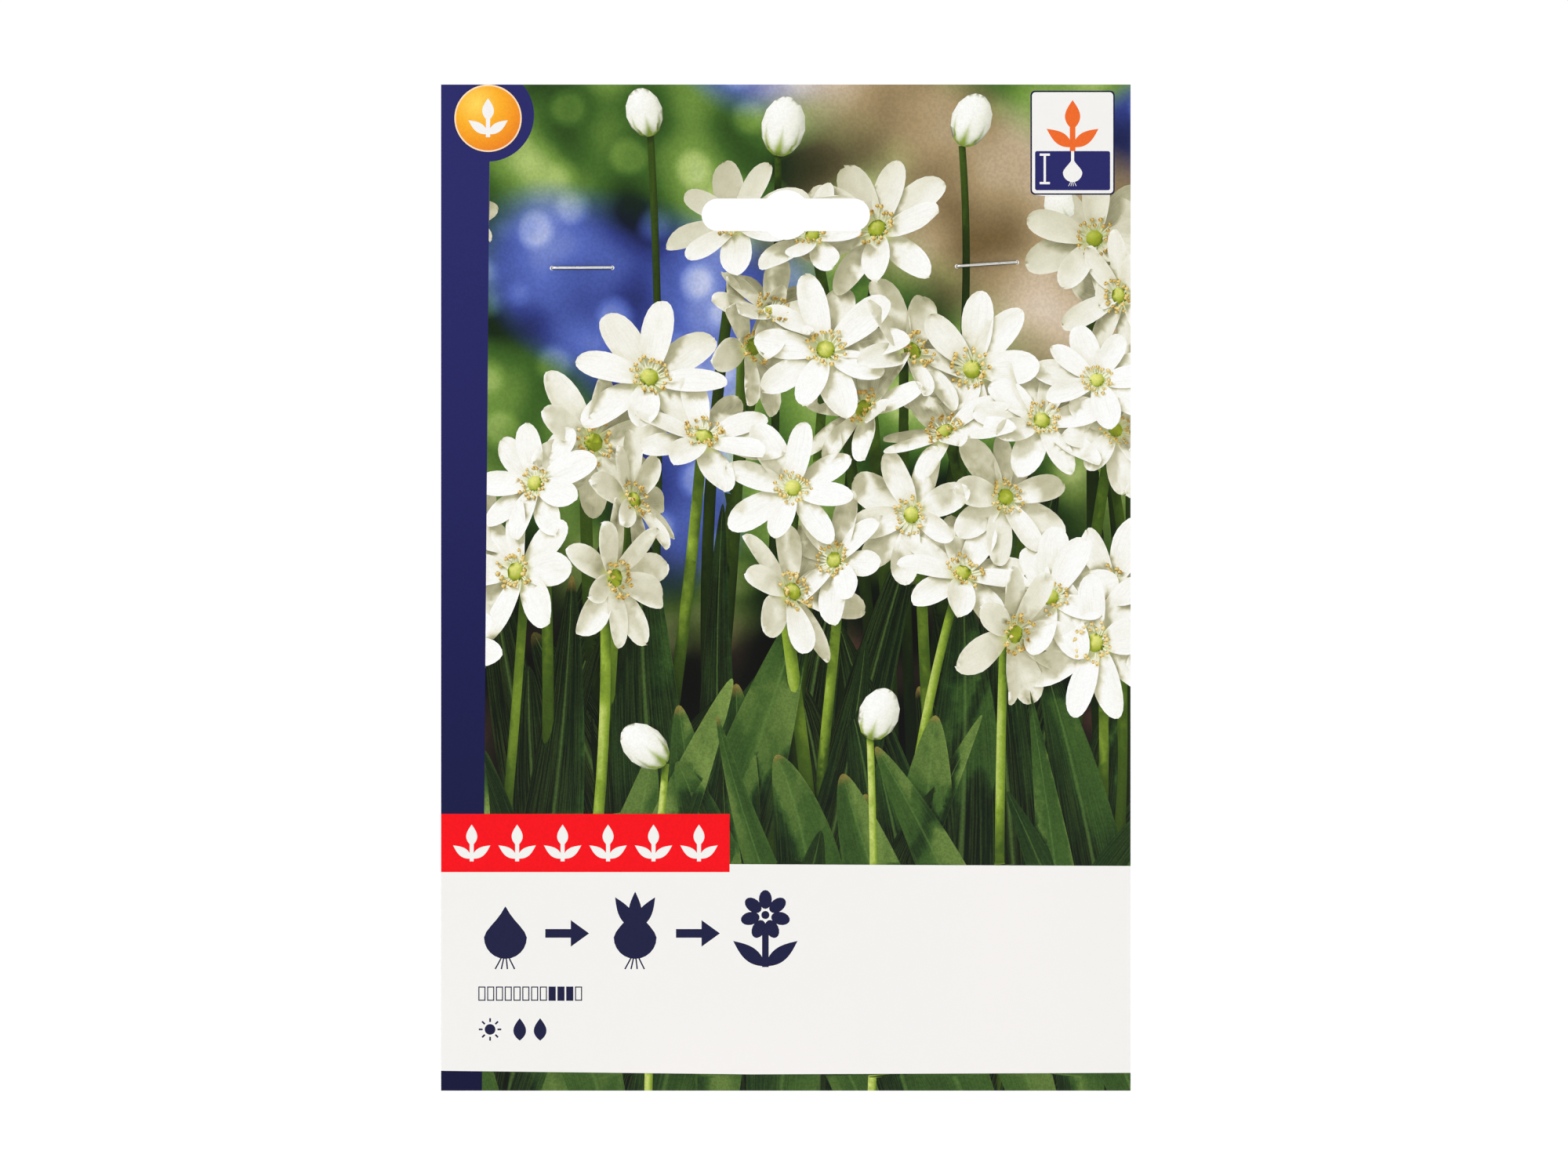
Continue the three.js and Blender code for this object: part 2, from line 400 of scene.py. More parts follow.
def course(start, middle, end, share):
    """A point on such a curve, and the way across the curve there."""
    way = bend(start, middle, end, share + 0.01) - bend(start, middle, end, share - 0.01)
    return bend(start, middle, end, share), Vector((way.y, -way.x, 0)).normalized()


def facing(tilt, heading):
    """Two directions across and one along a flower's axis, tilted away from the viewer."""
    turn = Matrix.Rotation(math.radians(heading), 3, "Z")
    turn = turn @ Matrix.Rotation(math.radians(tilt), 3, "X")
    return turn.col[0], turn.col[1], turn.col[2]


def ray_at(axes, angle):
    """A direction away from the axis of a flower or bulb."""
    return axes[0] * math.cos(angle) + axes[1] * math.sin(angle)


def add_petal(pile, middle, axes, angle, length, rise):
    """One long rounded petal, a shallow trough with a wavy rim."""
    out = axes[2]
    ray = ray_at(axes, angle)
    side = out.cross(ray)
    half_width = length * random.uniform(0.19, 0.24)
    curl = random.uniform(-0.22, 0.1)
    trough = random.uniform(0.05, 0.45)
    twist = random.uniform(-0.35, 0.35)
    seed = random.random()

    def surface(along, across):
        swell = math.sqrt(max(0.0, 1 - (2 * along**1.35 - 1) ** 2))
        reach = across * half_width * swell
        wave = noise.noise(Vector((along * 3, across * 1.5, seed * 90))) * length * 0.05
        height = length * (rise * along + curl * along**2) + trough * abs(reach) * abs(across)
        height += twist * reach * along + wave * along
        return middle + ray * (length * along) + side * reach + out * height

    pile.patch("petal", 12, 6, surface, seed)


def add_blob(pile, kind, middle, axes, radius, height, rows=5, columns=8):
    """A rounded knob that stands up from its middle along the last axis."""
    right, up, out = axes
    seed = random.random()

    def surface(along, across):
        turn = math.pi * across
        wide = radius * math.sin(math.pi * along)
        ring = right * (wide * math.sin(turn)) + up * (wide * math.cos(turn))
        return middle + ring + out * (height * (1 - math.cos(math.pi * along)) / 2)

    pile.patch(kind, rows, columns, surface, seed)


def add_filament(pile, start, end, side):
    """The thread that holds a stamen's grain of pollen."""
    half_width = 0.13

    def surface(along, across):
        return start.lerp(end, along) + side * (half_width * across)

    pile.patch("filament", 2, 1, surface)


def add_flower(pile, middle, radius, axes):
    """A many-petalled flower: two rings of petals, a ring of stamens and a green knob."""
    out = axes[2]
    petals = random.choice((8, 9, 9, 10))
    first = random.uniform(0, math.tau)
    for ring, (share, rise) in enumerate(((1.0, 0.12), (0.9, 0.34))):
        for k in range(petals // 2 + petals % 2 * (1 - ring)):
            angle = first + math.tau * (2 * k + ring) / petals + random.uniform(-0.1, 0.1)
            length = radius * share * random.uniform(0.92, 1.05)
            root = middle + out * (0.4 * ring + 0.12 * k)
            add_petal(pile, root, axes, angle, length, rise + random.uniform(-0.08, 0.1))
    add_blob(pile, "knob", middle + out * 0.3, axes, radius * 0.13, radius * 0.17)
    stamens = 24
    for k in range(stamens):
        ray = ray_at(axes, math.tau * k / stamens + random.uniform(-0.1, 0.1))
        reach = radius * random.uniform(0.16, 0.27)
        tip = middle + ray * reach + out * (radius * random.uniform(0.1, 0.2))
        grain_size = radius * random.uniform(0.024, 0.034)
        add_blob(pile, "anther", tip, axes, grain_size, grain_size * 2.2, 4, 6)
        root = middle + ray * (0.07 * radius) + out * (0.1 * radius)
        add_filament(pile, root, tip, out.cross(ray))


def add_stem(pile, top, foot, bulge, radius):
    """A round stem from a flower down to its foot."""
    middle = (top + foot) / 2 + bulge
    seed = random.random()

    def surface(along, across):
        turn = math.pi * across
        at, side = course(top, middle, foot, along)
        wide = radius * (0.8 + 0.2 * along)
        return at + side * (wide * math.sin(turn)) + Vector((0, 0, wide * math.cos(turn)))

    pile.patch("stem", 22, 10, surface, seed)


def add_leaf(pile, foot, tip, bulge, half_width, roll, fold):
    """A long leaf that narrows to its tip, folded a little along its middle."""
    middle = (foot + tip) / 2 + bulge
    seed = random.random()
    sway = random.uniform(0.5, 1.5)

    def surface(along, across):
        at, side = course(foot, middle, tip, along)
        swell = (0.62 + 0.38 * math.sin(math.pi * along**0.8)) * math.sqrt(1 - along**4)
        reach = across * half_width * swell
        angle = math.radians(roll) * (0.4 + 0.9 * along)
        height = reach * math.sin(angle) + fold * abs(reach)
        height += sway * math.sin(5 * along + 7 * seed)
        return at + side * (reach * math.cos(angle)) + Vector((0, 0, height))

    pile.patch("leaf", 26, 6, surface, seed)


def by_staple(x, y):
    """True for a flower that would lie under a staple's crown, which is left clear."""
    clear = 13
    middles = [in_print((left + right) / 2) for left, right in STAPLE_ENDS.values()]
    return any(math.dist((x, y), middle) < clear for middle in middles)


def flower_places():
    """Where the picture's flowers stand: staggered rows with gaps, the lower ones nearer."""
    rows, columns = 8, 9
    left, top, low = 3, -28, -124
    spacing = 17.5
    clump = 0.045
    for row in range(rows):
        share = row / (rows - 1)
        for column in range(columns):
            x = left + spacing * (column + row % 2 / 2) + random.uniform(-4.5, 4.5)
            y = top + (low - top) * share + random.uniform(-5, 5)
            depth = -20 + 30 * share + (5 * column + 3 * row) % 7
            thick = noise.noise(Vector((x * clump, y * clump, 2.6)))
            if thick > 1.1 * (share - 0.4) ** 2 - 0.34 and not by_staple(x, y):
                yield Vector((x, y, depth))


# The picture's buds: place, depth, size, tilt and heading
BUDS = (
    (66, -14, -25, 12, 78, 170),
    (41, -10, -26, 10, 70, 195),
    (102, -12, -25, 11, 75, 160),
    (124, -29, -25, 10, 84, 205),
    (44, -133, 24, 11, 76, 230),
    (84, -128, 24, 11, 66, 160),
)


def add_flowers(pile):
    """Flowers with their stems, each turned its own way."""
    for middle in list(flower_places()):
        axes = facing(random.uniform(16, 60), random.uniform(70, 290))
        add_flower(pile, middle, random.uniform(12, 16.5), axes)
        drop = Vector((random.uniform(-14, 14), -random.uniform(95, 130), -26))
        bulge = Vector((random.uniform(-9, 9), 0, -14))
        add_stem(pile, middle - axes[2], middle + drop, bulge, random.uniform(1.1, 1.6))


def add_buds(pile):
    """Closed buds, white at the nose and green at the foot."""
    for x, y, depth, size, tilt, heading in BUDS:
        top = Vector((x, y, depth))
        add_blob(pile, "bud", top, facing(tilt, heading), size * 0.36, size, 10, 12)
        drop = Vector((random.uniform(-10, 10), -random.uniform(60, 100), -12))
        add_stem(pile, top, top + drop, Vector((random.uniform(-5, 5), 0, -2)), 0.9)


def add_leaves(pile):
    """Long leaves from below the card, the nearer ones shorter."""
    leaves = 60
    left, span = 2, 138
    foot_level = -206
    golden_share = 0.618
    for k in range(leaves):
        x = left + span * ((k * golden_share) % 1)
        depth = -34 + 47 * (k / leaves)
        reach = random.uniform(92, 142) * (1 - 0.42 * k / leaves)
        foot = Vector((x, foot_level, depth - 8))
        lean = Vector((random.uniform(-38, 38), reach, 8 + random.uniform(-4, 8)))
        bulge = Vector((random.uniform(-10, 10), random.uniform(0, 14), random.uniform(0, 7)))
        roll = random.uniform(-55, 55)
        half_width = random.uniform(5.5, 9.5)
        add_leaf(pile, foot, foot + lean, bulge, half_width, roll, random.uniform(0.1, 0.5))


def picture():
    """The printed picture: white garden flowers over long leaves, none of them a real one."""
    random.seed(21)
    pile = Pile()
    add_flowers(pile)
    add_buds(pile)
    add_leaves(pile)
    return pile


def arc(x, y, radius, start, stop, steps):
    """Points on a circle from one direction to another, both ends included."""
    turns = [math.radians(start + (stop - start) * k / steps) for k in range(steps + 1)]
    return [(x + radius * math.cos(turn), y + radius * math.sin(turn)) for turn in turns]


def disc(x, y, radius, points):
    return arc(x, y, radius, 0, 360, points)[:-1]


def rectangle(left, right, top, bottom):
    return [(left, bottom), (right, bottom), (right, top), (left, top)]


def tile(left, right, top, bottom, radius):
    """A rectangle with round corners."""
    left, right, top, bottom = left + radius, right - radius, top - radius, bottom + radius
    outline = []
    for k, (x, y) in enumerate(((right, top), (left, top), (left, bottom), (right, bottom))):
        outline += arc(x, y, radius, 90 * k, 90 * k + 90, 6)
    return outline


def aimed(x, y, angle, reaches):
    """Points given by how far they lie from a place, along a direction and to its left."""
    turn = math.radians(angle)
    cos, sin = math.cos(turn), math.sin(turn)
    return [(x + along * cos - left * sin, y + along * sin + left * cos) for along, left in reaches]


def bar(x, y, x_end, y_end, width):
    """A straight strip from one place to another."""
    angle = math.degrees(math.atan2(y_end - y, x_end - x))
    length = math.dist((x, y), (x_end, y_end))
    return aimed(x, y, angle, rectangle(0, length, width / 2, -width / 2))


def leaf(x, y, angle, length, width):
    """A pointed leaf that grows from a place in a direction."""
    points = 12
    reaches = []
    for k in range(2 * points):
        share = 1 - abs(1 - k / points)
        half_width = width / 2 * math.sin(math.pi * share**0.85)
        reaches.append((length * share, -half_width if k < points else half_width))
    return aimed(x, y, angle, reaches)


def oval(x, y, angle, start, length, width):
    """A rounded petal that begins at a distance from a place, in a direction."""
    ring = disc(0, 0, 1, 16)
    return aimed(x, y, angle, [(start + length / 2 * (1 - a), -width / 2 * b) for a, b in ring])


def bulb(x, y, width):
    """A bulb: round below, drawn to a point above."""
    outline = []
    for wide, up in disc(0, 0, 1, 24):
        above = max(0, up)
        wide *= (1 - 0.25 * above) * (1 - 0.75 * above**3)
        outline.append((x + width / 2 * wide, y + width / 2 * (up + 0.45 * above**4)))
    return outline


def slot():
    """The hang slot: a long slot with a round eye in its middle."""
    x, y = SLOT_CENTRE
    half = SLOT_HEIGHT / 2
    end = SLOT_LENGTH / 2 - half
    eye = math.degrees(math.asin(half / EYE_RADIUS))
    outline = arc(x - end, y, half, 90, 270, 14)
    outline += arc(x, y, EYE_RADIUS, 180 + eye, 360 - eye, 14)
    outline += arc(x + end, y, half, -90, 90, 14)
    return outline + arc(x, y, EYE_RADIUS, eye, 180 - eye, 14)


def sprout(x, y, height):
    """Two leaves and a bud on a short stem, standing on a place."""
    return [
        bar(x, y, x, y + 0.6 * height, 0.11 * height),
        leaf(x, y + 0.08 * height, 35, 0.62 * height, 0.24 * height),
        leaf(x, y + 0.08 * height, 145, 0.62 * height, 0.24 * height),
        leaf(x, y + 0.42 * height, 90, 0.58 * height, 0.3 * height),
    ]


def roots(x, y, size):
    """Four strips that spread downwards."""
    leans = [lean * size for lean in (-0.5, -0.2, 0.1, 0.45)]
    return [bar(x + 0.4 * lean, y, x + lean, y - 0.55 * size, 0.07 * size) for lean in leans]


def daisy(x, y, radius):
    """Seven rounded petals round an open middle."""
    turns = [90 + 360 * k / 7 for k in range(7)]
    return [oval(x, y, turn, 0.24 * radius, 0.76 * radius, 0.52 * radius) for turn in turns]


def planting_steps():
    """Three planting steps across the panel: a bulb, a shoot and a flower."""
    foot = -172.2
    first, second, third = 12.6, 38, 63.5
    signs = []
    for x in (first, second):
        signs += [bulb(x, foot + 5.2, 8.4), *roots(x, foot + 1.2, 4)]
    for x in (24, 49.6):
        signs.append(bar(x - 3.6, foot + 6, x + 2, foot + 6, 1.7))
        signs.append([(x + 1.4, foot + 3.4), (x + 5, foot + 6), (x + 1.4, foot + 8.6)])
    signs += [leaf(second, foot + 6.8, 90 + lean, 7.4, 2.6) for lean in (-32, 0, 32)]
    signs.append(bar(third, foot - 0.6, third, foot + 8, 1.3))
    signs += [leaf(third, foot - 0.4, angle, 8, 2.8) for angle in (38, 142)]
    return signs + daisy(third, foot + 9.6, 4.9) + [disc(third, foot + 9.6, 0.8, 16)]


def months(inset, left_out=()):
    """A row of boxes for the months, each drawn in from its full size."""
    boxes = []
    for month in range(12):
        left = 7.3 + 1.72 * month + inset
        right = left + 1.4 - 2 * inset
        if month not in left_out:
            boxes.append(rectangle(left, right, -176.6 - inset, -179.4 + inset))
    return boxes


def weather():
    """Signs for sun and rain."""
    x, y = 9.6, -185
    beams = [aimed(x, y, 45 * k, rectangle(1.45, 2.2, 0.17, -0.17)) for k in range(8)]
    drops = [leaf(drop, y - 2.2, 90, 4.4, 2.5) for drop in (15.4, 19.4)]
    return [disc(x, y, 1.05, 20), *beams, *drops]


def cut_outlines():
    """What is cut from the card: its hang slot and the holes of the staples' legs."""
    legs = [in_print(place) for ends in STAPLE_ENDS.values() for place in ends]
    return [slot(), *[disc(x, y, LEG_HOLE, 12) for x, y in legs]]


def add_flat_print(pile):
    """The navy band, disc, label, panel, signs and tile that are printed over the picture."""
    low = -CARD_HEIGHT
    x, y, radius = DISC
    panel_left, panel_middle, panel_right = PANEL_BOTTOM
    panel = [(0, panel_left), (0.45 * CARD_WIDTH, panel_middle), (CARD_WIDTH, panel_right)]
    left, right, top, bottom = TILE
    middle = (left + right) / 2
    ground = top - 0.58 * (top - bottom)
    scale = left + 2.8
    scale_ends = [bar(scale - 1, end, scale + 1, end, 0.45) for end in (ground - 0.7, bottom + 2.3)]
    layers = (
        ("navy", [(0, low), (BAND_BOTTOM, low), (BAND_TOP, 0), (0, 0)]),
        ("navy", [(a, min(b, 0)) for a, b in disc(*COLLAR, 72)]),
        ("ink", disc(x, y, radius + 0.42, 64)),
        ("rim", disc(x, y, radius + 0.3, 64)),
        ("orange", disc(x, y, radius, 64)),
        ("paper", *sprout(x, y - 3.7, 7.6)),
        ("paper", panel + [(CARD_WIDTH, PANEL_TOP[1]), (0, PANEL_TOP[0])]),
        ("red", rectangle(*LABEL)),
        ("paper", *[part for k in range(6) for part in sprout(6 + 8.9 * k, LABEL[3] + 2.1, 7.2)]),
        ("ink", *planting_steps(), *months(0), *weather()),
        ("paper", *months(0.22, (8, 9, 10))),
        ("ink", tile(*TILE, 0.9)),
        ("paper", tile(left + 0.3, right - 0.3, top - 0.3, bottom + 0.3, 0.7)),
        ("navy", tile(left + 0.9, right - 0.9, ground, bottom + 0.9, 0.4)),
        ("paper", bulb(middle, bottom + 4.4, 3.8), *roots(middle, bottom + 2.6, 1.6)),
        ("paper", bar(middle, bottom + 6, middle, ground, 0.6), *scale_ends),
        ("paper", bar(scale, ground - 0.6, scale, bottom + 2.4, 0.45)),
        ("sprig", *sprout(middle, ground, 10)),
    )
    for k, (kind, *outlines) in enumerate(layers):
        pile.flat(kind, PRINT_LEVEL + k, *outlines)
    pile.flat("cut", CUT_LEVEL, *cut_outlines())


class Daylight:
    """Sun and open sky over the picture's surfaces, found by looking out from a place."""

    SKY_RAYS = 11
    SKY_REACH = 26
    SUN = Vector((-0.5, 0.62, 0.72))
    SUN_SPREAD = ((0, 0), (0.05, 0.02), (-0.03, 0.05), (-0.02, -0.05))

    def __init__(self, tree):
        self.tree = tree
        self.sun = [(self.SUN + Vector((a, b, 0))).normalized() for a, b in self.SUN_SPREAD]
        self.sky = []
        for k in range(self.SKY_RAYS):
            out = math.sqrt((k + 0.5) / self.SKY_RAYS)
            turn = k * GOLDEN_ANGLE
            up = math.sqrt(1 - out**2)
            self.sky.append(Vector((out * math.cos(turn), out * math.sin(turn), up)))

    def at(self, place, normal):
        """How much sun and how much sky reach a place, each from 0 to 1."""
        normal = normal if normal.z >= 0 else -normal
        start = place + normal * 0.06
        sun = 0.0
        for ray in self.sun:
            slant = normal.dot(ray)
            if slant > 0 and self.tree.ray_cast(start, ray)[0] is None:
                sun += slant / len(self.sun)
        sky = 0.0
        for ray in self.sky:
            distance = self.tree.ray_cast(start, ray, self.SKY_REACH)[3]
            sky += 1.0 if distance is None else 0.5 * distance / self.SKY_REACH
        return sun, sky / len(self.sky)


class Print:
    """The pile flattened to triangles on the card's face that no patch's edge crosses."""

    # The picture's cell, how many cells the flat print's cell spans, and how far from its
    # corners towards its middle a triangle is read
    FINE = 0.9
    COARSE = 4
    INWARD = 0.05

    def __init__(self, pile, garden_tree):
        self.pile = pile
        self.tree = pile.tree()
        self.normals = smooth_normals(pile.points, pile.triangles)
        self.daylight = Daylight(garden_tree)
        self.points, triangles = self.flatten()
        self.known = {}
        self.faces = []
        self.kinds = []
        self.corners = []
        for triangle in triangles:
            kind, corners = self.read(triangle)
            if kind != "cut":
                self.faces.append(triangle)
                self.kinds.append(kind)
                self.corners += corners

    def flatten(self):
        """Points and triangles of the card's face between all the edges that show."""
        places = [Vector((at.x, at.y)) for at in self.pile.points]
        inside = [self.drawn_in(at) for at in places]
        edges = self.pile.seen_edges(self.tree)
        edges = [edge for edge in edges if any(places[v] == inside[v] for v in edge)]
        corners, edges = renumbered(edges)
        points = [inside[v] for v in corners] + list(self.filling())
        points, edges, triangles = triangulated(points, edges)
        crossings, seams = self.seams(points, triangles)
        points, _, triangles = triangulated(points + crossings, edges + seams)
        return points, triangles

    @staticmethod
    def drawn_in(at):
        """The nearest place on the card."""
        return Vector((min(max(at.x, 0), CARD_WIDTH), min(max(at.y, -CARD_HEIGHT), 0)))

    def filling(self):
        """Points between the edges: close together in the picture, and few on flat print."""
        columns = round(CARD_WIDTH / self.FINE)
        rows = round(CARD_HEIGHT / self.FINE)
        stir = self.FINE * 0.3
        for i in range(columns + 1):
            for j in range(rows + 1):
                point = Vector((CARD_WIDTH * i / columns, -CARD_HEIGHT * j / rows))
                border = i in (0, columns) or j in (0, rows)
                if border or (i % self.COARSE == 0 and j % self.COARSE == 0):
                    yield point
                elif self.patch_at(point) is not None:
                    yield point + Vector((random.uniform(-stir, stir), random.uniform(-stir, stir)))

    def seams(self, points, triangles):
        """The lines along which patches cut through each other, as points and edges."""
        crossings = {}
        edges = []
        for triangle in triangles:
            middle = middle_of([points[v] for v in triangle])
            corners = [(v, points[v].lerp(middle, self.INWARD)) for v in triangle]
            corners = [(v, corner, self.patch_at(corner)) for v, corner in corners]
            met = []
            for (v, start, patch), (w, end, other) in sides(corners):
                if patch == other:
                    continue
                side = tuple(sorted((v, w)))
                if side not in crossings:
                    place = points[v].lerp(points[w], self.meeting(start, end, patch))
                    crossings[side] = (len(points) + len(crossings), place)
                met.append(crossings[side][0])
            edges += zip(met, met[1:])
        return [place for _, place in crossings.values()], edges

    def patch_at(self, point):
        """The number of the picture's patch that shows at a point."""
        hit, _, triangle, _ = look(self.tree, point)
        shows = hit is not None and hit.z < GARDEN_TOP
        return self.pile.patch_of[triangle] if shows else None

    def meeting(self, start, end, patch):
        """The share of the way from start to end at which a patch stops showing."""
        low, high = 0.0, 1.0
        for _ in range(6):
            share = (low + high) / 2
            if self.patch_at(start.lerp(end, share)) == patch:
                low = share
            else:
                high = share
        return min(1 - self.INWARD, max(self.INWARD, low))

    def read(self, face):
        """A face's kind, and its place on its patch and its light at each of its corners."""
        middle = middle_of([self.points[v] for v in face])
        hit, _, triangle, _ = look(self.tree, middle)
        if hit is None:
            return "backdrop", [(Vector(), Vector())] * len(face)
        patch = self.pile.patch_of[triangle]
        kind = self.pile.kind_of[patch]
        if hit.z > GARDEN_TOP:
            return kind, [(Vector(), Vector())] * len(face)
        for v in face:
            if (v, patch) not in self.known:
                corner = self.points[v].lerp(middle, self.INWARD)
                self.known[v, patch] = self.sample(corner, patch, hit, triangle)
        return kind, [self.known[v, patch] for v in face]

    def sample(self, point, patch, hit, triangle):
        """Place on its patch and light of what shows at a point, or else at the hit given."""
        seen, _, other, _ = look(self.tree, point)
        if seen is not None and self.pile.patch_of[other] == patch:
            hit, triangle = seen, other
        corners = self.pile.triangles[triangle]
        positions = [self.pile.points[c] for c in corners]
        place, normal = (
            barycentric_transform(hit, *positions, *[values[c] for c in corners])
            for values in (self.pile.places, self.normals)
        )
        sun, sky = self.daylight.at(hit, normal.normalized())
        return place, Vector((sun, sky, hit.z))


def print_finish(kind):
    """Ink on the card's coated face, under a thin varnish."""
    finish = Finish(kind + "_print", Roughness=0.5, Specular_IOR_Level=0.05)
    finish.set(Coat_Weight=0.14, Coat_Roughness=0.1)
    return finish


def tone_of(finish, sun_share=0.55, sky_share=0.6, deepest=0.2):
    """How bright the picture's light makes a surface. It fades with depth."""
    sun, sky, height = finish.stored("light")
    return (sun * sun_share + sky * sky_share) * height.between(-34, -2, deepest, 1.0)


def grained(finish, colour, amount, scale=2600):
    """The finished material: its colour with the fine speckle of the printing screen."""
    speckle = finish.noise(finish.place(), scale, 1.0)
    factor = speckle.between(0.35, 0.65, 1 - amount, 1 + amount)
    grey = finish.add("CombineColor", {}, {0: factor, 1: factor, 2: factor})
    return finish.set(Base_Color=finish.mix(1.0, colour, grey, "MULTIPLY"))


def toned_print(kind, amount, *stops):
    """A part of the picture whose colour follows the light alone."""
    finish = print_finish(kind)
    return grained(finish, finish.ramp(tone_of(finish), *stops), amount)


def petal_print():
    finish = print_finish("petal")
    along, across, seed = finish.stored("place")
    colour = finish.ramp(
        tone_of(finish),
        (0.05, 112, 110, 76),
        (0.3, 186, 182, 148),
        (0.55, 231, 228, 207),
        (0.8, 249, 248, 241),
        (1.0, 254, 254, 252),
    )
    streak = finish.vector(along * 1.6, across * 7 + seed * 40, seed * 9)
    vein = finish.noise(streak, 2.0, 3.0).between(0.5, 0.68)
    colour = finish.mix(vein * 0.16, colour, (204, 202, 184))
    base = along.between(0.3, 0.04)
    return grained(finish, finish.mix(base * 0.75, colour, (206, 212, 128)), 0.02)


def bud_print():
    finish = print_finish("bud")
    along, across, _ = finish.stored("place")
    tone = tone_of(finish, deepest=0.9)
    white = finish.ramp(tone, (0.1, 150, 152, 126), (0.6, 236, 236, 222), (1.0, 252, 252, 248))
    green = finish.ramp(tone, (0.1, 58, 76, 24), (0.6, 140, 160, 66), (1.0, 200, 210, 120))
    ribs = abs((across * 11).sine())
    foot = (along + ribs * 0.22).between(0.62, 0.3)
    return grained(finish, finish.mix(foot, white, green), 0.03)


def leaf_print():
    finish = print_finish("leaf")
    along, across, seed = finish.stored("place")
    colour = finish.ramp(
        tone_of(finish, 0.6, 0.5),
        (0.0, 5, 9, 5),
        (0.24, 12, 24, 11),
        (0.5, 28, 52, 22),
        (0.75, 58, 88, 36),
        (1.0, 126, 150, 74),
    )
    streak = finish.vector(along * 2.5, across * 9 + seed * 30, seed * 7)
    vein = finish.noise(streak, 2.6, 4.0, 0.6).between(0.42, 0.66)
    colour = finish.mix(vein * 0.2, colour, (92, 116, 52))
    midrib = abs(across).between(0.1, 0.0)
    colour = finish.mix(midrib * 0.35, colour, (104, 138, 66))
    tip = along.between(0.965, 1.0) * seed.between(0.55, 0.65)
    return grained(finish, finish.mix(tip * 0.7, colour, (146, 126, 64)), 0.12)


def backdrop_print():
    """Out-of-focus garden: foliage, blue and violet flowers, bark, and dark soil low down."""
    finish = print_finish("backdrop")
    place = finish.stretched(finish.place(), (1, 0, 1))
    side, _, height = (place.axis(name) for name in "XYZ")
    soft = finish.noise(place, 24, 0.0)
    wide = finish.noise(finish.moved(place, (0.31, 0, 0.17)), 16, 0.0)
    fleck = finish.noise(finish.moved(place, (0.7, 0, 0.4)), 62, 0.6, 0.4)
    spots = finish.cells(finish.moved(place, (0.2, 0, 0.3)), 95, "SMOOTH_F1", Smoothness=0.35)
    spots = spots.between(0.46, 0.2)
    foliage = finish.ramp(
        fleck * 0.75 + soft * 0.25 + spots * 0.1,
        (0.34, 20, 38, 16),
        (0.46, 62, 98, 36),
        (0.58, 112, 146, 62),
        (0.7, 168, 190, 108),
        (0.84, 222, 230, 186),
    )
    blue = finish.ramp(
        fleck * 0.6 + wide * 0.3 + spots * 0.14,
        (0.32, 18, 20, 46),
        (0.42, 50, 62, 132),
        (0.54, 84, 104, 184),
        (0.66, 140, 156, 214),
        (0.82, 220, 224, 240),
    )
    bark = finish.ramp(
        fleck * 0.5 + wide * 0.5,
        (0.32, 112, 92, 56),
        (0.44, 168, 146, 108),
        (0.56, 206, 186, 158),
        (0.7, 228, 214, 200),
    )
    soil = finish.ramp(
        fleck, (0.35, 4, 5, 4), (0.5, 12, 14, 9), (0.62, 36, 28, 22), (0.75, 78, 52, 42)
    )
    blue_place = (soft * 2.0 + side * -5.0 + height * 5.0).between(1.05, 1.25)
    bark_place = (abs(height + side * 0.5 + wide * 0.05 - 0.042) * 9).between(0.26, 0.12)
    low_place = (height + fleck * 0.03 + soft * 0.05).between(0.0, -0.045)
    colour = finish.mix(blue_place, foliage, blue)
    colour = finish.mix(bark_place * (side + soft * 0.1).between(0.04, 0.07), colour, bark)
    return grained(finish, finish.mix(low_place, colour, soil), 0.06, 2000)


def plain_print(kind, upper, lower=None, amount=0.03):
    """An even ink, or one that goes from its upper colour to its lower one down the card, which the
    navy uses as painted light falloff.
    """
    finish = print_finish(kind)
    share = finish.place().axis("Z").between(card_high.z * MM, card_low.z * MM)
    return grained(finish, finish.mix(share, upper, lower or upper), amount)


def orange_print():
    """The disc's ink: yellow where its printed shine is, deeper orange below."""
    finish = print_finish("orange")
    x, y, radius = DISC
    shine = on_part(Vector((x - 0.35 * radius, y + 0.45 * radius)), 0) * MM
    away = finish.moved(finish.stretched(finish.place(), (1, 0, 1)), -shine)
    distance = finish.add("VectorMath", {"operation": "LENGTH"}, {0: away}, "Value")
    colour = finish.ramp(
        distance / (1.7 * radius * MM),
        (0.0, 255, 216, 92),
        (0.4, 253, 178, 44),
        (0.75, 244, 148, 34),
        (1.0, 232, 124, 40),
    )
    return grained(finish, colour, 0.03)


def paper_print():
    """Unprinted coated board, with a few specks of dust."""
    finish = print_finish("paper")
    place = finish.place()
    cloud = finish.noise(place, 14, 1.0).between(0.3, 0.7)
    colour = finish.mix(cloud, (246, 243, 241), (243, 242, 238))
    dust = finish.cells(finish.stretched(place, (1, 0, 1)), 90).between(0.012, 0.006)
    return finish.set(Base_Color=finish.mix(dust * 0.45, colour, (120, 112, 104)))


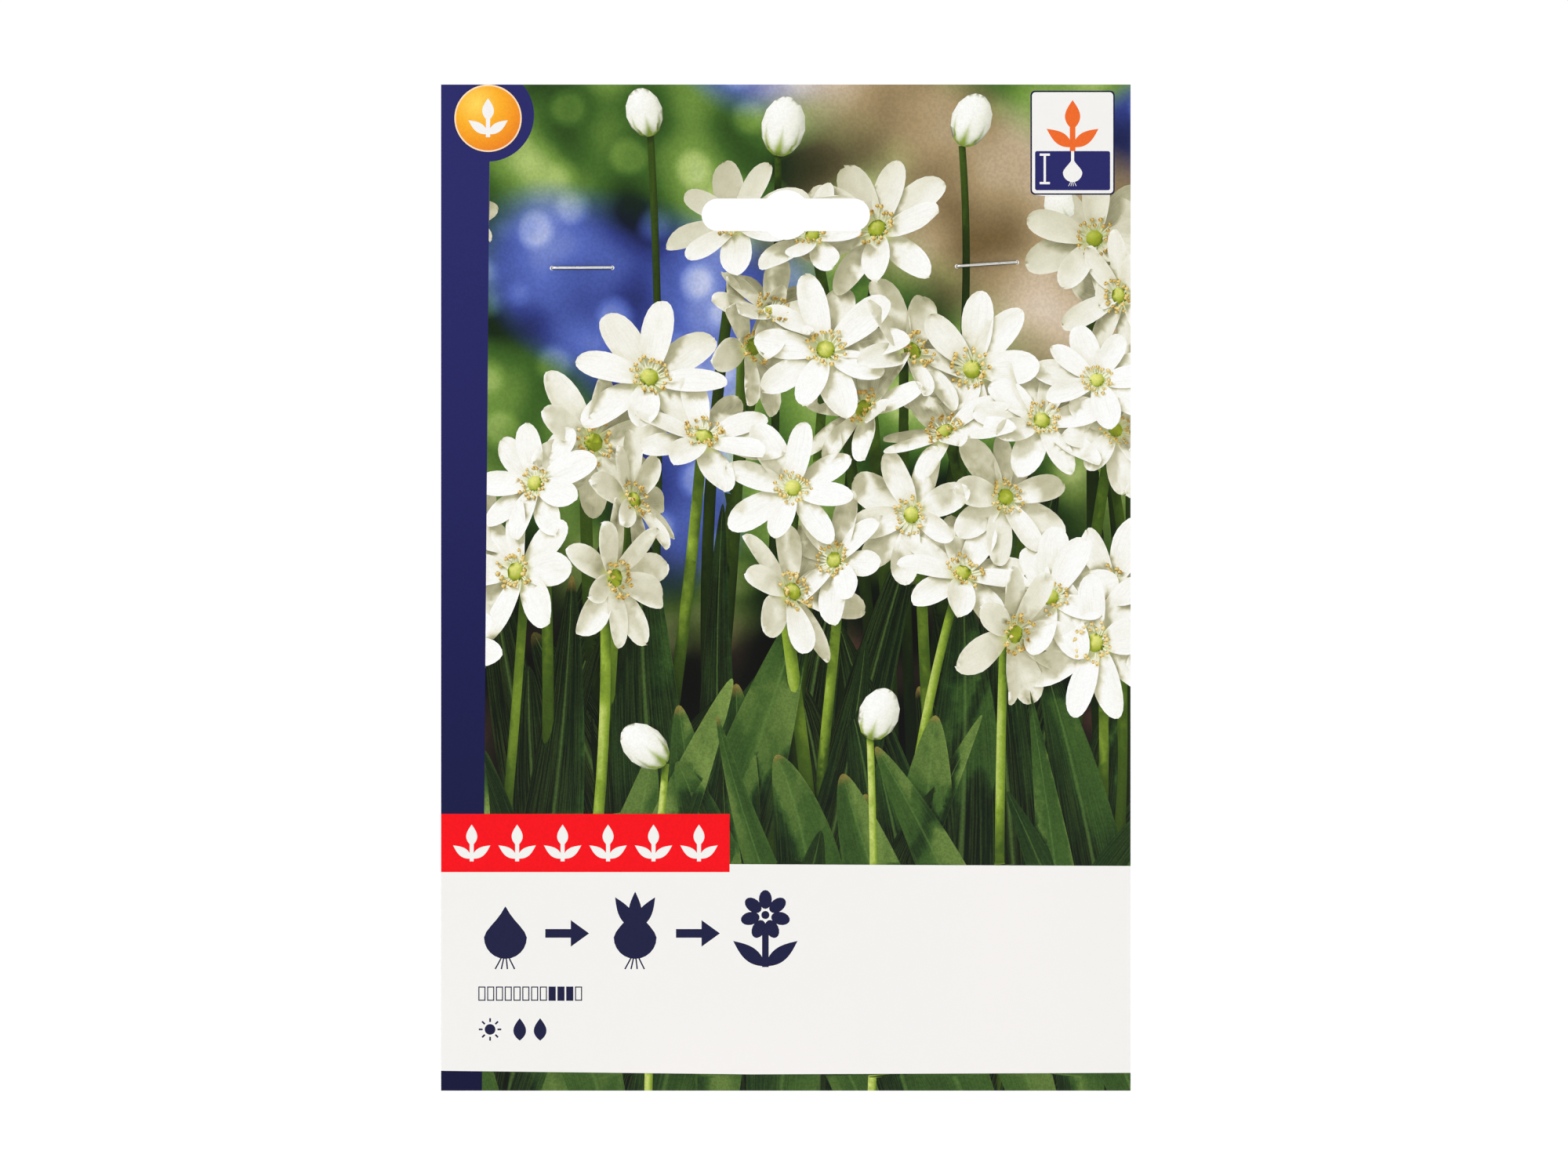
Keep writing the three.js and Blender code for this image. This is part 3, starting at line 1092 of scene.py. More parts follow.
def print_materials():
    """The finish of each kind of surface that the print shows."""
    knob = ((0.1, 86, 98, 22), (0.5, 160, 172, 48), (1.0, 232, 232, 132))
    anther = ((0.1, 140, 104, 44), (0.5, 226, 196, 108), (1.0, 252, 240, 196))
    filament = ((0.1, 150, 156, 104), (0.8, 244, 244, 214))
    stem = ((0.05, 14, 24, 8), (0.35, 66, 90, 26), (0.7, 138, 164, 52), (1.0, 206, 218, 120))
    return {
        "petal": petal_print(),
        "knob": toned_print("knob", 0.05, *knob),
        "anther": toned_print("anther", 0.03, *anther),
        "filament": toned_print("filament", 0, *filament),
        "bud": bud_print(),
        "stem": toned_print("stem", 0.06, *stem),
        "leaf": leaf_print(),
        "backdrop": backdrop_print(),
        # The navy is painted lighter at the top and darker at the bottom: painted light falloff
        # down the card
        "navy": plain_print("navy", (42, 42, 105), (12, 15, 56)),
        "ink": plain_print("ink", (28, 30, 66), amount=0.05),
        "rim": plain_print("rim", (250, 222, 190)),
        "orange": orange_print(),
        "red": plain_print("red", (248, 8, 22)),
        "sprig": plain_print("sprig", (240, 108, 44)),
        "paper": paper_print(),
    }


def board_edge():
    """The cut edge of the board: pale fibres in layers."""
    finish = Finish("board_edge", Roughness=0.85)
    layers = finish.noise(finish.stretched(finish.place(), (1, 12, 1)), 900, 4.0)
    return finish.set(Base_Color=finish.mix(layers, (206, 200, 190), (238, 234, 226)))


def board_back():
    """The card's uncoated back: off-white pulp with fine fibres."""
    finish = Finish("board_back", Roughness=0.8)
    place = finish.stretched(finish.place(), (1, 0, 1))
    cloud = finish.noise(place, 26, 5.0, 0.6)
    colour = finish.mix(cloud.between(0.2, 0.8), (211, 206, 195), (218, 213, 203))
    fibre = finish.noise(finish.stretched(place, (1, 1, 0.25)), 1700, 3.0, 0.6, 1.5)
    colour = finish.mix(fibre.between(0.6, 0.72) * 0.3, colour, (176, 164, 146))
    fleck = finish.cells(place, 420).between(0.05, 0.02)
    colour = finish.mix(fleck * 0.4, colour, (140, 124, 104))
    return finish.set(Base_Color=colour, Normal=finish.bump(fibre, 0.00002, 0.5))


def placed(name, data, place=(0, 0, 0)):
    """Puts a mesh, lamp or camera into the scene."""
    holder = bpy.data.objects.new(name, data)
    holder.location = place
    bpy.context.scene.collection.objects.link(holder)
    return holder


def new_mesh(name, places, faces, materials):
    """A mesh in metres from places in millimetres."""
    mesh = bpy.data.meshes.new(name)
    mesh.from_pydata([place * MM for place in places], [], faces)
    for material in materials:
        mesh.materials.append(material)
    return mesh


def mesh_piece(name, places, faces, materials, replaced):
    """A finished object on the part's one body, in the place of a CAD node."""
    piece = placed(name, new_mesh(name, places, faces, materials))
    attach(piece, "root")
    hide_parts(replaced)
    return piece


def store(mesh, name, domain, values):
    """Keeps a vector at each of a mesh's points or corners for its finish to read."""
    layer = mesh.attributes.new(name, "FLOAT_VECTOR", domain)
    layer.data.foreach_set("vector", [number for value in values for number in value])


def on_part(point, depth):
    """A point of the print on the part itself."""
    return Vector((card_low.x + point.x, depth, card_high.z + point.y))


def rim_edges(faces):
    """The directed edges that only one face has."""
    edges = {edge for face in faces for edge in sides(face)}
    return [edge for edge in edges if edge[::-1] not in edges]


def back_faces(points, rim):
    """Points and triangles for the card's back, with the same rim and cuts as its face."""
    corners, edges = renumbered(rim)
    step = 5
    filling = [
        Vector((i * step, -j * step))
        for i in range(1, int(CARD_WIDTH / step))
        for j in range(1, int(CARD_HEIGHT / step))
    ]
    flat, _, triangles = triangulated([points[v] for v in corners] + filling, edges, 1e-5)
    cuts = cut_outlines()
    kept = []
    for triangle in triangles:
        middle = middle_of([flat[v] for v in triangle])
        if not any(encloses(outline, *middle) for outline in cuts):
            kept.append(triangle)
    return flat, kept


def encloses(outline, x, y):
    """True if a place is inside an outline."""
    inside = False
    for (ax, ay), (bx, by) in sides(outline):
        if (ay > y) != (by > y) and x < ax + (y - ay) * (bx - ax) / (by - ay):
            inside = not inside
    return inside


def make_card():
    """The card: its printed face, its back and its cut edges, as one closed board."""
    pile = picture()
    garden_tree = pile.tree()
    add_flat_print(pile)
    face = Print(pile, garden_tree)
    materials = print_materials()
    kinds = list(materials)
    places = [on_part(point, card_low.y) for point in face.points]
    faces = [list(corners) for corners in face.faces]
    indices = [kinds.index(kind) for kind in face.kinds]
    rim = rim_edges(faces)
    corners, _ = renumbered(rim)
    behind = {v: len(places) + k for k, v in enumerate(corners)}
    places += [on_part(face.points[v], card_high.y) for v in corners]
    faces += [[b, a, behind[a], behind[b]] for a, b in rim]
    indices += [len(kinds)] * len(rim)
    flat, triangles = back_faces(face.points, rim)
    faces += [[len(places) + v for v in reversed(triangle)] for triangle in triangles]
    indices += [len(kinds) + 1] * len(triangles)
    places += [on_part(point, card_high.y) for point in flat]
    surfaces = [*materials.values(), board_edge(), board_back()]
    card = mesh_piece("printed_card", places, faces, surfaces, "card").data
    card.polygons.foreach_set("material_index", indices)
    rest = [(0, 0, 0)] * (len(card.loops) - len(face.corners))
    store(card, "place", "CORNER", [place for place, _ in face.corners] + rest)
    store(card, "light", "CORNER", [light for _, light in face.corners] + rest)
    lay_out(card)
    weld(card)


def lay_out(mesh):
    """The card's map for its baked colours."""
    layer = mesh.uv_layers.new(name="OFBake")
    for polygon in mesh.polygons:
        for loop in polygon.loop_indices:
            place = mesh.vertices[mesh.loops[loop].vertex_index].co / MM
            layer.data[loop].uv = card_uv(place, polygon.normal)


def card_uv(place, normal):
    """The printed face takes the map's left two thirds, and the back and edges the rest."""
    right = (place.x - card_low.x) / CARD_HEIGHT
    up = (place.z - card_low.z) / CARD_HEIGHT
    if normal.y < -0.5:
        return right, up
    if normal.y > 0.5:
        return 0.7 + 0.42 * right, 0.42 * up
    upright = abs(normal.x) > 0.7
    column = 0.7 + (0 if upright else 0.05) + (0.1 if normal.x + normal.z > 0 else 0)
    through = (place.y - card_low.y) / (card_high.y - card_low.y)
    return column + 0.02 * through, 0.5 + 0.45 * (up if upright else right)


def weld(mesh):
    """Joins points that lie together."""
    shape = bmesh.new()
    shape.from_mesh(mesh)
    bmesh.ops.remove_doubles(shape, verts=shape.verts, dist=2e-6)
    shape.to_mesh(mesh)
    shape.free()


class Form:
    """A closed mesh in the making. Each of its places has a note that its finish reads."""

    def __init__(self):
        self.places = []
        self.notes = []
        self.faces = []
        self.finishes = []

    def add(self, place, note):
        self.places.append(place)
        self.notes.append(note)
        return len(self.places) - 1

    def face(self, corners, finish=0):
        self.faces.append(tuple(corners))
        self.finishes.append(finish)

    def skin(self, rings, finish=0):
        """Joins rings of places and notes, anticlockwise seen from the last one, and caps them."""
        rows = [[self.add(place, note) for place, note in ring] for ring in rings]
        for low, high in zip(rows, rows[1:]):
            for (a, b), (d, c) in zip(sides(low), sides(high)):
                self.face((a, b, c, d), finish)
        self.face(reversed(rows[0]), finish)
        self.face(rows[-1], finish)

    def piece(self, name, materials, slot_name, replaced):
        """The finished object, with its notes stored on it."""
        piece = mesh_piece(name, self.places, self.faces, materials, replaced)
        piece.data.polygons.foreach_set("material_index", self.finishes)
        piece.data.polygons.foreach_set("use_smooth", [True] * len(self.faces))
        store(piece.data, "note", "POINT", self.notes)
        return piece


def galvanised_wire():
    """Galvanised wire: drawn lines along it, duller patches in the zinc, and painted shade along
    its sides.
    """
    finish = Finish("galvanised_wire", Metallic=1.0)
    place = finish.place()
    up = finish.stored("note")[0]
    # Painted shade: a dark band along the wire's lower side stands in for its shadow on the card,
    # and a fainter one along its upper side for a darker reflection
    painted_side_shade = up.between(-0.2, -0.6).most(up.between(0.6, 0.95) * 0.7)
    drawn = finish.noise(finish.stretched(place, (0.06, 1, 1)), 9000, 2.0)
    dull = finish.noise(place, 1400, 3.0)
    colour = finish.mix(drawn.between(0.3, 0.7), (214, 214, 210), (246, 245, 240))
    colour = finish.mix(dull.between(0.55, 0.75) * 0.5, colour, (150, 148, 144))
    colour = finish.mix(painted_side_shade * 0.9, colour, (52, 50, 46))
    return finish.set(Base_Color=colour, Roughness=dull.between(0.3, 0.7, 0.26, 0.5))


def staple_line(spread):
    """The wire's middle line from tip to tip, as distances to the right and back."""
    crown = card_low.y - CROWN_DEPTH / 2
    clinch = bag_low.y + SEAL_FILM + CROWN_DEPTH / 2
    clinch_bow = 0.22
    corner = 0.55
    half = []
    for k in range(17):
        share = k / 16
        right = TIP_GAP + (spread - corner - TIP_GAP) * share
        half.append((right, clinch + clinch_bow * math.sin(math.pi * share)))
    half += arc(spread - corner, clinch - corner, corner, 90, 0, 7)
    half += arc(spread - corner, crown + corner, corner, 0, -90, 7)
    half += [((spread - corner) * (1 - k / 12), crown) for k in range(1, 13)]
    return half + [(-right, back) for right, back in reversed(half[:-1])]


def flattened(value):
    """Pushes a circle's measure out, so that the wire has four flat sides and round corners."""
    return math.copysign(abs(value) ** 0.6, value)


def make_staple(name):
    """A staple: its crown on the printed side, its legs clinched behind the bag's mouth."""
    left, right = STAPLE_ENDS[name]
    middle = (left + right) / 2
    middle.y = 0
    along = (right - left).normalized()
    up = along.cross(Vector((0, 1, 0)))
    line = staple_line((right - left).length / 2)
    line = [middle + along * across + Vector((0, back, 0)) for across, back in line]
    rings = []
    for k, place in enumerate(line):
        way = line[min(len(line) - 1, k + 1)] - line[max(0, k - 1)]
        out = up.cross(way.normalized())
        from_tip = min(k, len(line) - 1 - k)
        wedge = (0.25, 0.7, 1)[min(2, from_tip)]
        ring = []
        for a, b in disc(0, 0, 1, 16):
            wide = flattened(a) * WIRE / 2
            thick = flattened(b) * CROWN_DEPTH / 2 * wedge
            # The note's first part says where across the wire a place is; the finish paints shade
            # along the wire's sides from it
            ring.append((place + up * wide + out * thick, (a, 0, 0)))
        rings.append(ring)
    form = Form()
    form.skin(rings)
    form.piece(name.replace("staple", "wire_staple"), [galvanised_wire()], "staple_wire", name)


def papery_skin():
    """Dry bulb skin: brown with violet in it, paler and smoother where it is torn away.

    The note's last part is the height up the bulb, plus ten where the brown skin is whole.
    """
    finish = Finish("papery_skin")
    right, up, level = finish.stored("note")
    cover = level.between(4.5, 5.5)
    height = level - cover * 10
    around = finish.vector(right, up, height * 0.35)
    streak = finish.noise(around, 7.0, 5.0, 0.65, 0.3)
    fibre = finish.noise(around, 34.0, 3.0, 0.6)
    patch = finish.noise(finish.place(), 130, 3.0, 0.55)
    outer = finish.ramp(
        streak * 0.65 + patch * 0.35,
        (0.32, 52, 32, 27),
        (0.44, 98, 62, 46),
        (0.54, 136, 92, 66),
        (0.68, 184, 142, 104),
    )
    outer = finish.mix(patch.between(0.45, 0.62) * 0.35, outer, (92, 50, 66))
    own_tone = finish.noise(finish.place(), 34, 0.0).between(0.42, 0.58)
    outer = finish.mix(own_tone * 0.3, outer, (178, 126, 80))
    inner = finish.ramp(
        streak * 0.5 + fibre * 0.5,
        (0.35, 138, 106, 88),
        (0.5, 184, 156, 126),
        (0.65, 216, 194, 162),
    )
    inner = finish.mix(height.between(0.5, 0.95) * 0.4, inner, (150, 104, 120))
    low = height.between(0.3, 0.0)
    dirt = (finish.noise(finish.place(), 420, 4.0, 0.6) + low * 0.16).between(0.6, 0.74)
    colour = finish.mix(dirt * 0.7, finish.mix(cover, inner, outer), (52, 38, 28))
    rough = cover.between(0, 1, 0.42, 0.66) + dirt * 0.2
    normal = finish.bump(fibre * 0.6 + streak * 0.4, 0.00035, 0.7)
    return finish.set(Base_Color=colour, Roughness=rough, Normal=normal)


def dead_root():
    finish = Finish("dead_root", Roughness=0.85)
    tone = finish.noise(finish.place(), 600, 3.0)
    colour = finish.ramp(tone, (0.35, 110, 84, 60), (0.5, 168, 138, 104), (0.65, 206, 184, 150))
    return finish.set(Base_Color=colour)


def mesh_parts(mesh):
    """A mesh's places, in millimetres, and its faces."""
    return [vertex.co / MM for vertex in mesh.vertices], [list(p.vertices) for p in mesh.polygons]


def girth(height):
    """A bulb's half width at a share of its height: a round body drawn in to a narrow nose."""
    if height <= THICKEST:
        return max(0.2, (1 - (1 - height / THICKEST) ** 2) ** 0.46)
    rise = (height - THICKEST) / (1 - THICKEST)
    return max(0.09, math.cos(math.pi / 2 * rise) ** (1 + 0.9 * rise))


class Bulb:
    """A dry bulb: papery skin torn in places, shreds at its nose and a tuft of dead roots."""

    # The two finishes, the share of the whole height that the body takes below its shreds, how
    # far it stays inside the CAD bulb for its skin to stand on, and its least half width
    SKIN = 0
    ROOT = 1
    BODY = 0.945
    INSET = 0.45
    TIP = 0.3

    def __init__(self, name, others):
        number = int(name.split("_")[1])
        random.seed(40 + number)
        self.name = name
        self.seed = 7.3 * number
        self.others = others
        self.form = Form()
        self.stand()
        self.add_body()
        self.add_shreds()
        self.add_roots()

    def stand(self):
        """Reads the foot, the axis up to the nose, the height and the radius off the CAD node."""
        points = mesh_parts(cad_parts[self.name].data)[0]
        middle = middle_of(points)
        nose = max(points, key=lambda point: (point - middle).length)
        axis = (nose - middle).normalized()
        heights = [(point - nose).dot(axis) for point in points]
        self.tall = max(heights) - min(heights)
        self.wide = max(((point - nose).cross(axis)).length for point in points)
        self.foot = nose - axis * self.tall
        right = axis.orthogonal().normalized()
        self.axes = (right, axis.cross(right), axis)

    def rough(self, side, height, around, along):
        """Noise over the skin, by how many swings it has round the bulb and along it."""
        return noise.noise(side * around + Vector((0, 0, height * along + self.seed)))

    def cover(self, side, height):
        """How whole the brown outer skin is at a place, from 0 where it is torn away to 1."""
        ragged = self.rough(side, height, 1.2, 1.4) + 0.3 * self.rough(side, height, 4.5, 7)
        return smooth_step(ragged + 0.62 - 0.75 * height, -0.04, 0.05)

    def add_body(self):
        rows, columns = 64, 84
        flat_side = random.uniform(0, math.tau)
        rings = []
        for i in range(rows + 1):
            height = (1 - math.cos(math.pi * i / rows)) / 2 * self.BODY
            level = self.foot + self.axes[2] * (self.tall * (0.01 + height))
            slim = girth(height)
            ring = []
            for j in range(columns):
                turn = math.tau * j / columns
                side = Vector((math.cos(turn), math.sin(turn), 0))
                cover = self.cover(side, height)
                lump = self.rough(side, height, 0.9, 2)
                rib = self.rough(side, height, 6.5, 1.2)
                pucker = self.rough(side, height, 9, 12)
                press = 0.08 * max(0, math.cos(turn - flat_side)) ** 3
                half_width = self.wide * slim * (0.955 + 0.035 * lump - press) - self.INSET
                swell = (0.3 + 0.2 * rib + 0.1 * pucker) * cover
                half_width += swell * min(1, 4 * slim - 0.5)
                place = level + ray_at(self.axes, turn) * max(half_width, self.TIP)
                ring.append((place, (side.x, side.y, height + 10 * cover)))
            rings.append(ring)
        self.form.skin(rings)

    def add_blade(self, start, way, side, length, width, thick, curl, finish):
        """A dry strip or root: a thin closed blade that narrows and curls away to one side."""
        side = side.normalized()
        out = side.cross(way).normalized()
        steps = 9
        rings = []
        for i in range(steps + 1):
            share = i / steps
            place = start + way * (length * share) + out * (curl * length * share**2)
            narrow = (1 - share**2) ** 0.5 * 0.9 + 0.1
            ring = []
            for a, b in reversed(disc(0, 0, 1, 6)):
                reach = side * (width / 2 * narrow * a) + out * (thick / 2 * narrow * b)
                ring.append((place + reach, (a, share, 10.9)))
            rings.append(ring)
        self.form.skin(rings, finish)

    def add_shreds(self):
        """Torn skin that stands up round the nose."""
        axis = self.axes[2]
        shreds = 7
        for k in range(shreds):
            ray = ray_at(self.axes, math.tau * k / shreds + random.uniform(-0.3, 0.3))
            way = (axis + ray * random.uniform(0.05, 0.35)).normalized()
            start = self.foot + axis * (self.tall * 0.9) + ray * (0.06 * self.wide)
            length = random.uniform(2.4, 5)
            if self.clear(start + way * length):
                width = random.uniform(1.0, 2.0)
                curl = random.uniform(-0.3, 0.5)
                self.add_blade(start, way, way.cross(ray), length, width, 0.22, curl, self.SKIN)

    def add_roots(self):
        """Short dead roots that spread from the foot."""
        axis = self.axes[2]
        roots_left = 16
        width = 0.55
        for k in range(roots_left):
            ray = ray_at(self.axes, GOLDEN_ANGLE * k)
            spread = math.sqrt((k + 1) / roots_left)
            way = (ray * (0.3 + spread) - axis).normalized()
            start = self.foot + axis * (self.tall * 0.02) + ray * (0.22 * self.wide * spread)
            length = random.uniform(1.6, 4.2)
            if self.clear(start + way * length):
                curl = random.uniform(-0.6, 0.6)
                self.add_blade(start, way, way.cross(axis), length, width, width, curl, self.ROOT)

    def clear(self, place):
        """True if a place is well inside the bag and inside none of the other bulbs."""
        edge = SEAL + 1.5
        if not bag_low.y + 0.6 < place.y < bag_high.y - 2:
            return False
        if abs(place.x) > bag_high.x - edge or place.z < bag_low.z + edge:
            return False
        for tree in self.others:
            near, normal, _, distance = tree.find_nearest(place)
            if distance < 0.4 or (place - near).dot(normal) < 0:
                return False
        return True

    def piece(self):
        finishes = [papery_skin(), dead_root()]
        name = self.name.replace("bulb", "dry_bulb")
        return self.form.piece(name, finishes, "bulb_skin", self.name)


def make_bulbs():
    """All the bulbs, and what a ray meets of them."""
    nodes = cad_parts
    names = sorted(name for name in nodes if name.startswith("bulb_"))
    solids = {name: BVHTree.FromPolygons(*mesh_parts(nodes[name].data)) for name in names}
    places = []
    faces = []
    for name in names:
        others = [tree for other, tree in solids.items() if other != name]
        points, polygons = mesh_parts(Bulb(name, others).piece().data)
        faces += [[len(places) + v for v in polygon] for polygon in polygons]
        places += points
    return BVHTree.FromPolygons(places, faces)


def pouch_depth(at):
    """How far inside the welded edges a place of the bag's flat plan is."""
    return min(bag_high.x - SEAL - abs(at.x), at.y - bag_low.z - SEAL, MOUTH_FOOT - at.y)


class BackFilm:
    """The bag's back film: a skin drawn tight over the bulbs, with creases where it is slack."""

    # The grid's step, how often the film is drawn tight over it, how far it gives at each pull,
    # and how clear of the bulbs it stays
    STEP = 0.8
    PULLS = 5000
    PRESSURE = 0.004
    CLEARANCE = 0.12

    def __init__(self, bulbs):
        x, z = (
            low + self.STEP * np.arange(round((high - low) / self.STEP) + 1)
            for low, high in ((bag_low.x, bag_high.x), (bag_low.z, bag_high.z))
        )
        seal = bag_low.y + SEAL_FILM
        held = (np.abs(x)[None, :] > bag_high.x - SEAL) | (z < bag_low.z + SEAL)[:, None]
        held |= (z > MOUTH_FOOT)[:, None]
        bulb = np.full(held.shape, seal)
        for j, up in enumerate(z):
            for i, across in enumerate(x):
                start = Vector((across, 2 * bag_high.y, up))
                hit = bulbs.ray_cast(start, Vector((0, -1, 0)))[0]
                if hit is not None:
                    bulb[j, i] = hit.y + self.CLEARANCE
        wider = [np.roll(bulb, (i, j), (0, 1)) for i in range(-2, 3) for j in range(-3, 4)]
        self.bulb = np.max(wider, 0)
        self.film = np.where(held, seal, self.bulb)
        for _ in range(self.PULLS):
            around = sum(np.roll(self.film, step, axis) for step in (1, -1) for axis in (0, 1))
            drawn = np.maximum(self.bulb, around / 4 + self.PRESSURE)
            self.film = np.where(held, seal, drawn)

    def read(self, field, at):
        """A field's value between its grid's points."""
        column = min(max((at.x - bag_low.x) / self.STEP, 0), field.shape[1] - 1.001)
        row = min(max((at.y - bag_low.z) / self.STEP, 0), field.shape[0] - 1.001)
        i, j = int(column), int(row)
        u, v = column - i, row - j
        low = field[j, i] * (1 - u) + field[j, i + 1] * u
        high = field[j + 1, i] * (1 - u) + field[j + 1, i + 1] * u
        return low * (1 - v) + high * v

    def at(self, at):
        """The film's depth at a place of the plan, and how sharply it is creased there."""
        film = self.read(self.film, at)
        bulb = self.read(self.bulb, at)
        inside = pouch_depth(at)
        if inside <= 0:
            pucker = 0.5 + 0.5 * noise.noise(Vector((at.x * 0.22, at.y * 0.05, 4)))
            full_low, full_high = MOUTH_FOOT + 5, -9
            gather = smooth_step(at.y, MOUTH_FOOT, full_low)
            gather *= smooth_step(-at.y, -bag_high.z, -full_high)
            return film + 0.3 * pucker * gather, 0.3 * gather
        slack = smooth_step(film - bulb, 0.05, 2.5) * self.calm(at)
        crease = self.creases(at)
        folds = self.staple_folds(at) + self.seam_puckers(at)
        edge = smooth_step(inside, 0, 5)
        raised = (0.1 + 0.9 * slack) * (crease * edge + folds * smooth_step(inside, 0, 2))
        return min(bag_high.y - 0.1, max(film + raised, bulb)), min(1, crease) * edge

    @staticmethod
    def calm(at):
        """Fades the creases round an air hole, so that it stays round."""
        near = min((at - middle).length for middle, _ in VENTS)
        return smooth_step(near, VENT_RADIUS, 2.6 * VENT_RADIUS)

    @staticmethod
    def creases(at):
        """Sharp straight ridges between the flat facets of crumpled film, at two sizes."""
        total = 0.0
        for size, height, seed in ((23, 1.6, 2), (10, 0.8, 5)):
            place = Vector((at.x / size, at.y / (1.5 * size), seed))
            near, next_near = noise.voronoi(place)[0][:2]
            strong = 0.35 + 0.65 * smooth_step(noise.noise(place * 1.7), -0.3, 0.3)
            total += height * strong * max(0.0, 1 - (next_near - near) * 4.5) ** 1.6
        return total

    @staticmethod
    def staple_folds(at):
        """Folds that fan down from where the staples pinch the mouth."""
        total = 0.0
        for left, right in STAPLE_ENDS.values():
            away = at - ((left + right) / 2).xz
            turn = math.atan2(away.x, -away.y)
            wave = math.cos(8 * turn + 2 * noise.noise(Vector((turn * 2, away.length * 0.05, 3))))
            total += (0.5 + 0.5 * wave) * 1.5 * math.exp(-away.length / 30)
        return total

    @staticmethod
    def seam_puckers(at):
        """Small puckers along the sealed sides and foot."""
        total = 0.0
        from_side = bag_high.x - SEAL - abs(at.x)
        from_foot = at.y - bag_low.z - SEAL
        for distance, along in ((from_side, at.y), (from_foot, at.x)):
            wave = math.sin(along * 0.85 + 3 * noise.noise(Vector((along * 0.09, at.x * 0.02, 7))))
            total += 0.45 * (0.5 + 0.5 * wave) * math.exp(-max(0, distance) / 6)
        return total


def crowded(low, high, count):
    """Steps between two ends, closest together near both, where the bag is steepest."""
    for k in range(1, count):
        share = k / count
        share -= 0.13 * math.sin(math.tau * share)
        yield low + (high - low) * share


def box_points(left, right, foot, top):
    """Points every so often round a box."""
    cell = 1.4
    points = []
    for start, end in sides([Vector(corner) for corner in rectangle(left, right, top, foot)]):
        steps = round((end - start).length / cell)
        points += [start.lerp(end, k / steps) for k in range(steps)]
    return points


def bag_plan():
    """The bag's flat plan as triangles, with its seals, air holes and leg holes as edges."""
    left, right, foot, top = bag_low.x, bag_high.x, bag_low.z, bag_high.z
    rings = [
        box_points(left, right, foot, top),
        box_points(left + SEAL, right - SEAL, foot + SEAL, MOUTH_FOOT),
    ]
    rings += [disc(*middle, radius, 28) for middle, radius in VENTS]
    rings += [disc(*middle, radius, 10) for middle, radius in LEG_HOLES]
    points = []
    edges = []
    for ring in rings:
        edges += sides(list(range(len(points), len(points) + len(ring))))
        points += [Vector(point) for point in ring]
    columns, rows, mouth_columns = 96, 112, 60
    clear = 0.4
    for x in crowded(left + SEAL, right - SEAL, columns):
        for z in crowded(foot + SEAL, MOUTH_FOOT, rows):
            point = Vector((x, z))
            if all(abs((point - middle).length - radius) > clear for middle, radius in HOLES):
                points.append(point)
    mouth_rows = (MOUTH_FOOT + SEAL, MOUTH_FOOT + 6, (MOUTH_FOOT + top) / 2 + 2, top - 1.2)
    for k in range(1, mouth_columns):
        points += [Vector((left + (right - left) * k / mouth_columns, z)) for z in mouth_rows]
    points, _, triangles = triangulated(points, edges, 1e-4)
    return points, triangles


def swollen(at, depth):
    """The back film's place over the plan: the full bag's sides and foot swell over its seals."""
    right = bag_high.x
    foot = bag_low.z + SEAL
    swell = math.sin(math.pi * min(1, max(0, depth - bag_low.y - 0.2) / BELLY))
    side = smooth_step(abs(at.x), 0.7 * right, right - SEAL)
    low = smooth_step(foot - at.y, -16, 0)
    return Vector((at.x + math.copysign(2.2 * side * swell, at.x), depth, at.y - 2.6 * low * swell))


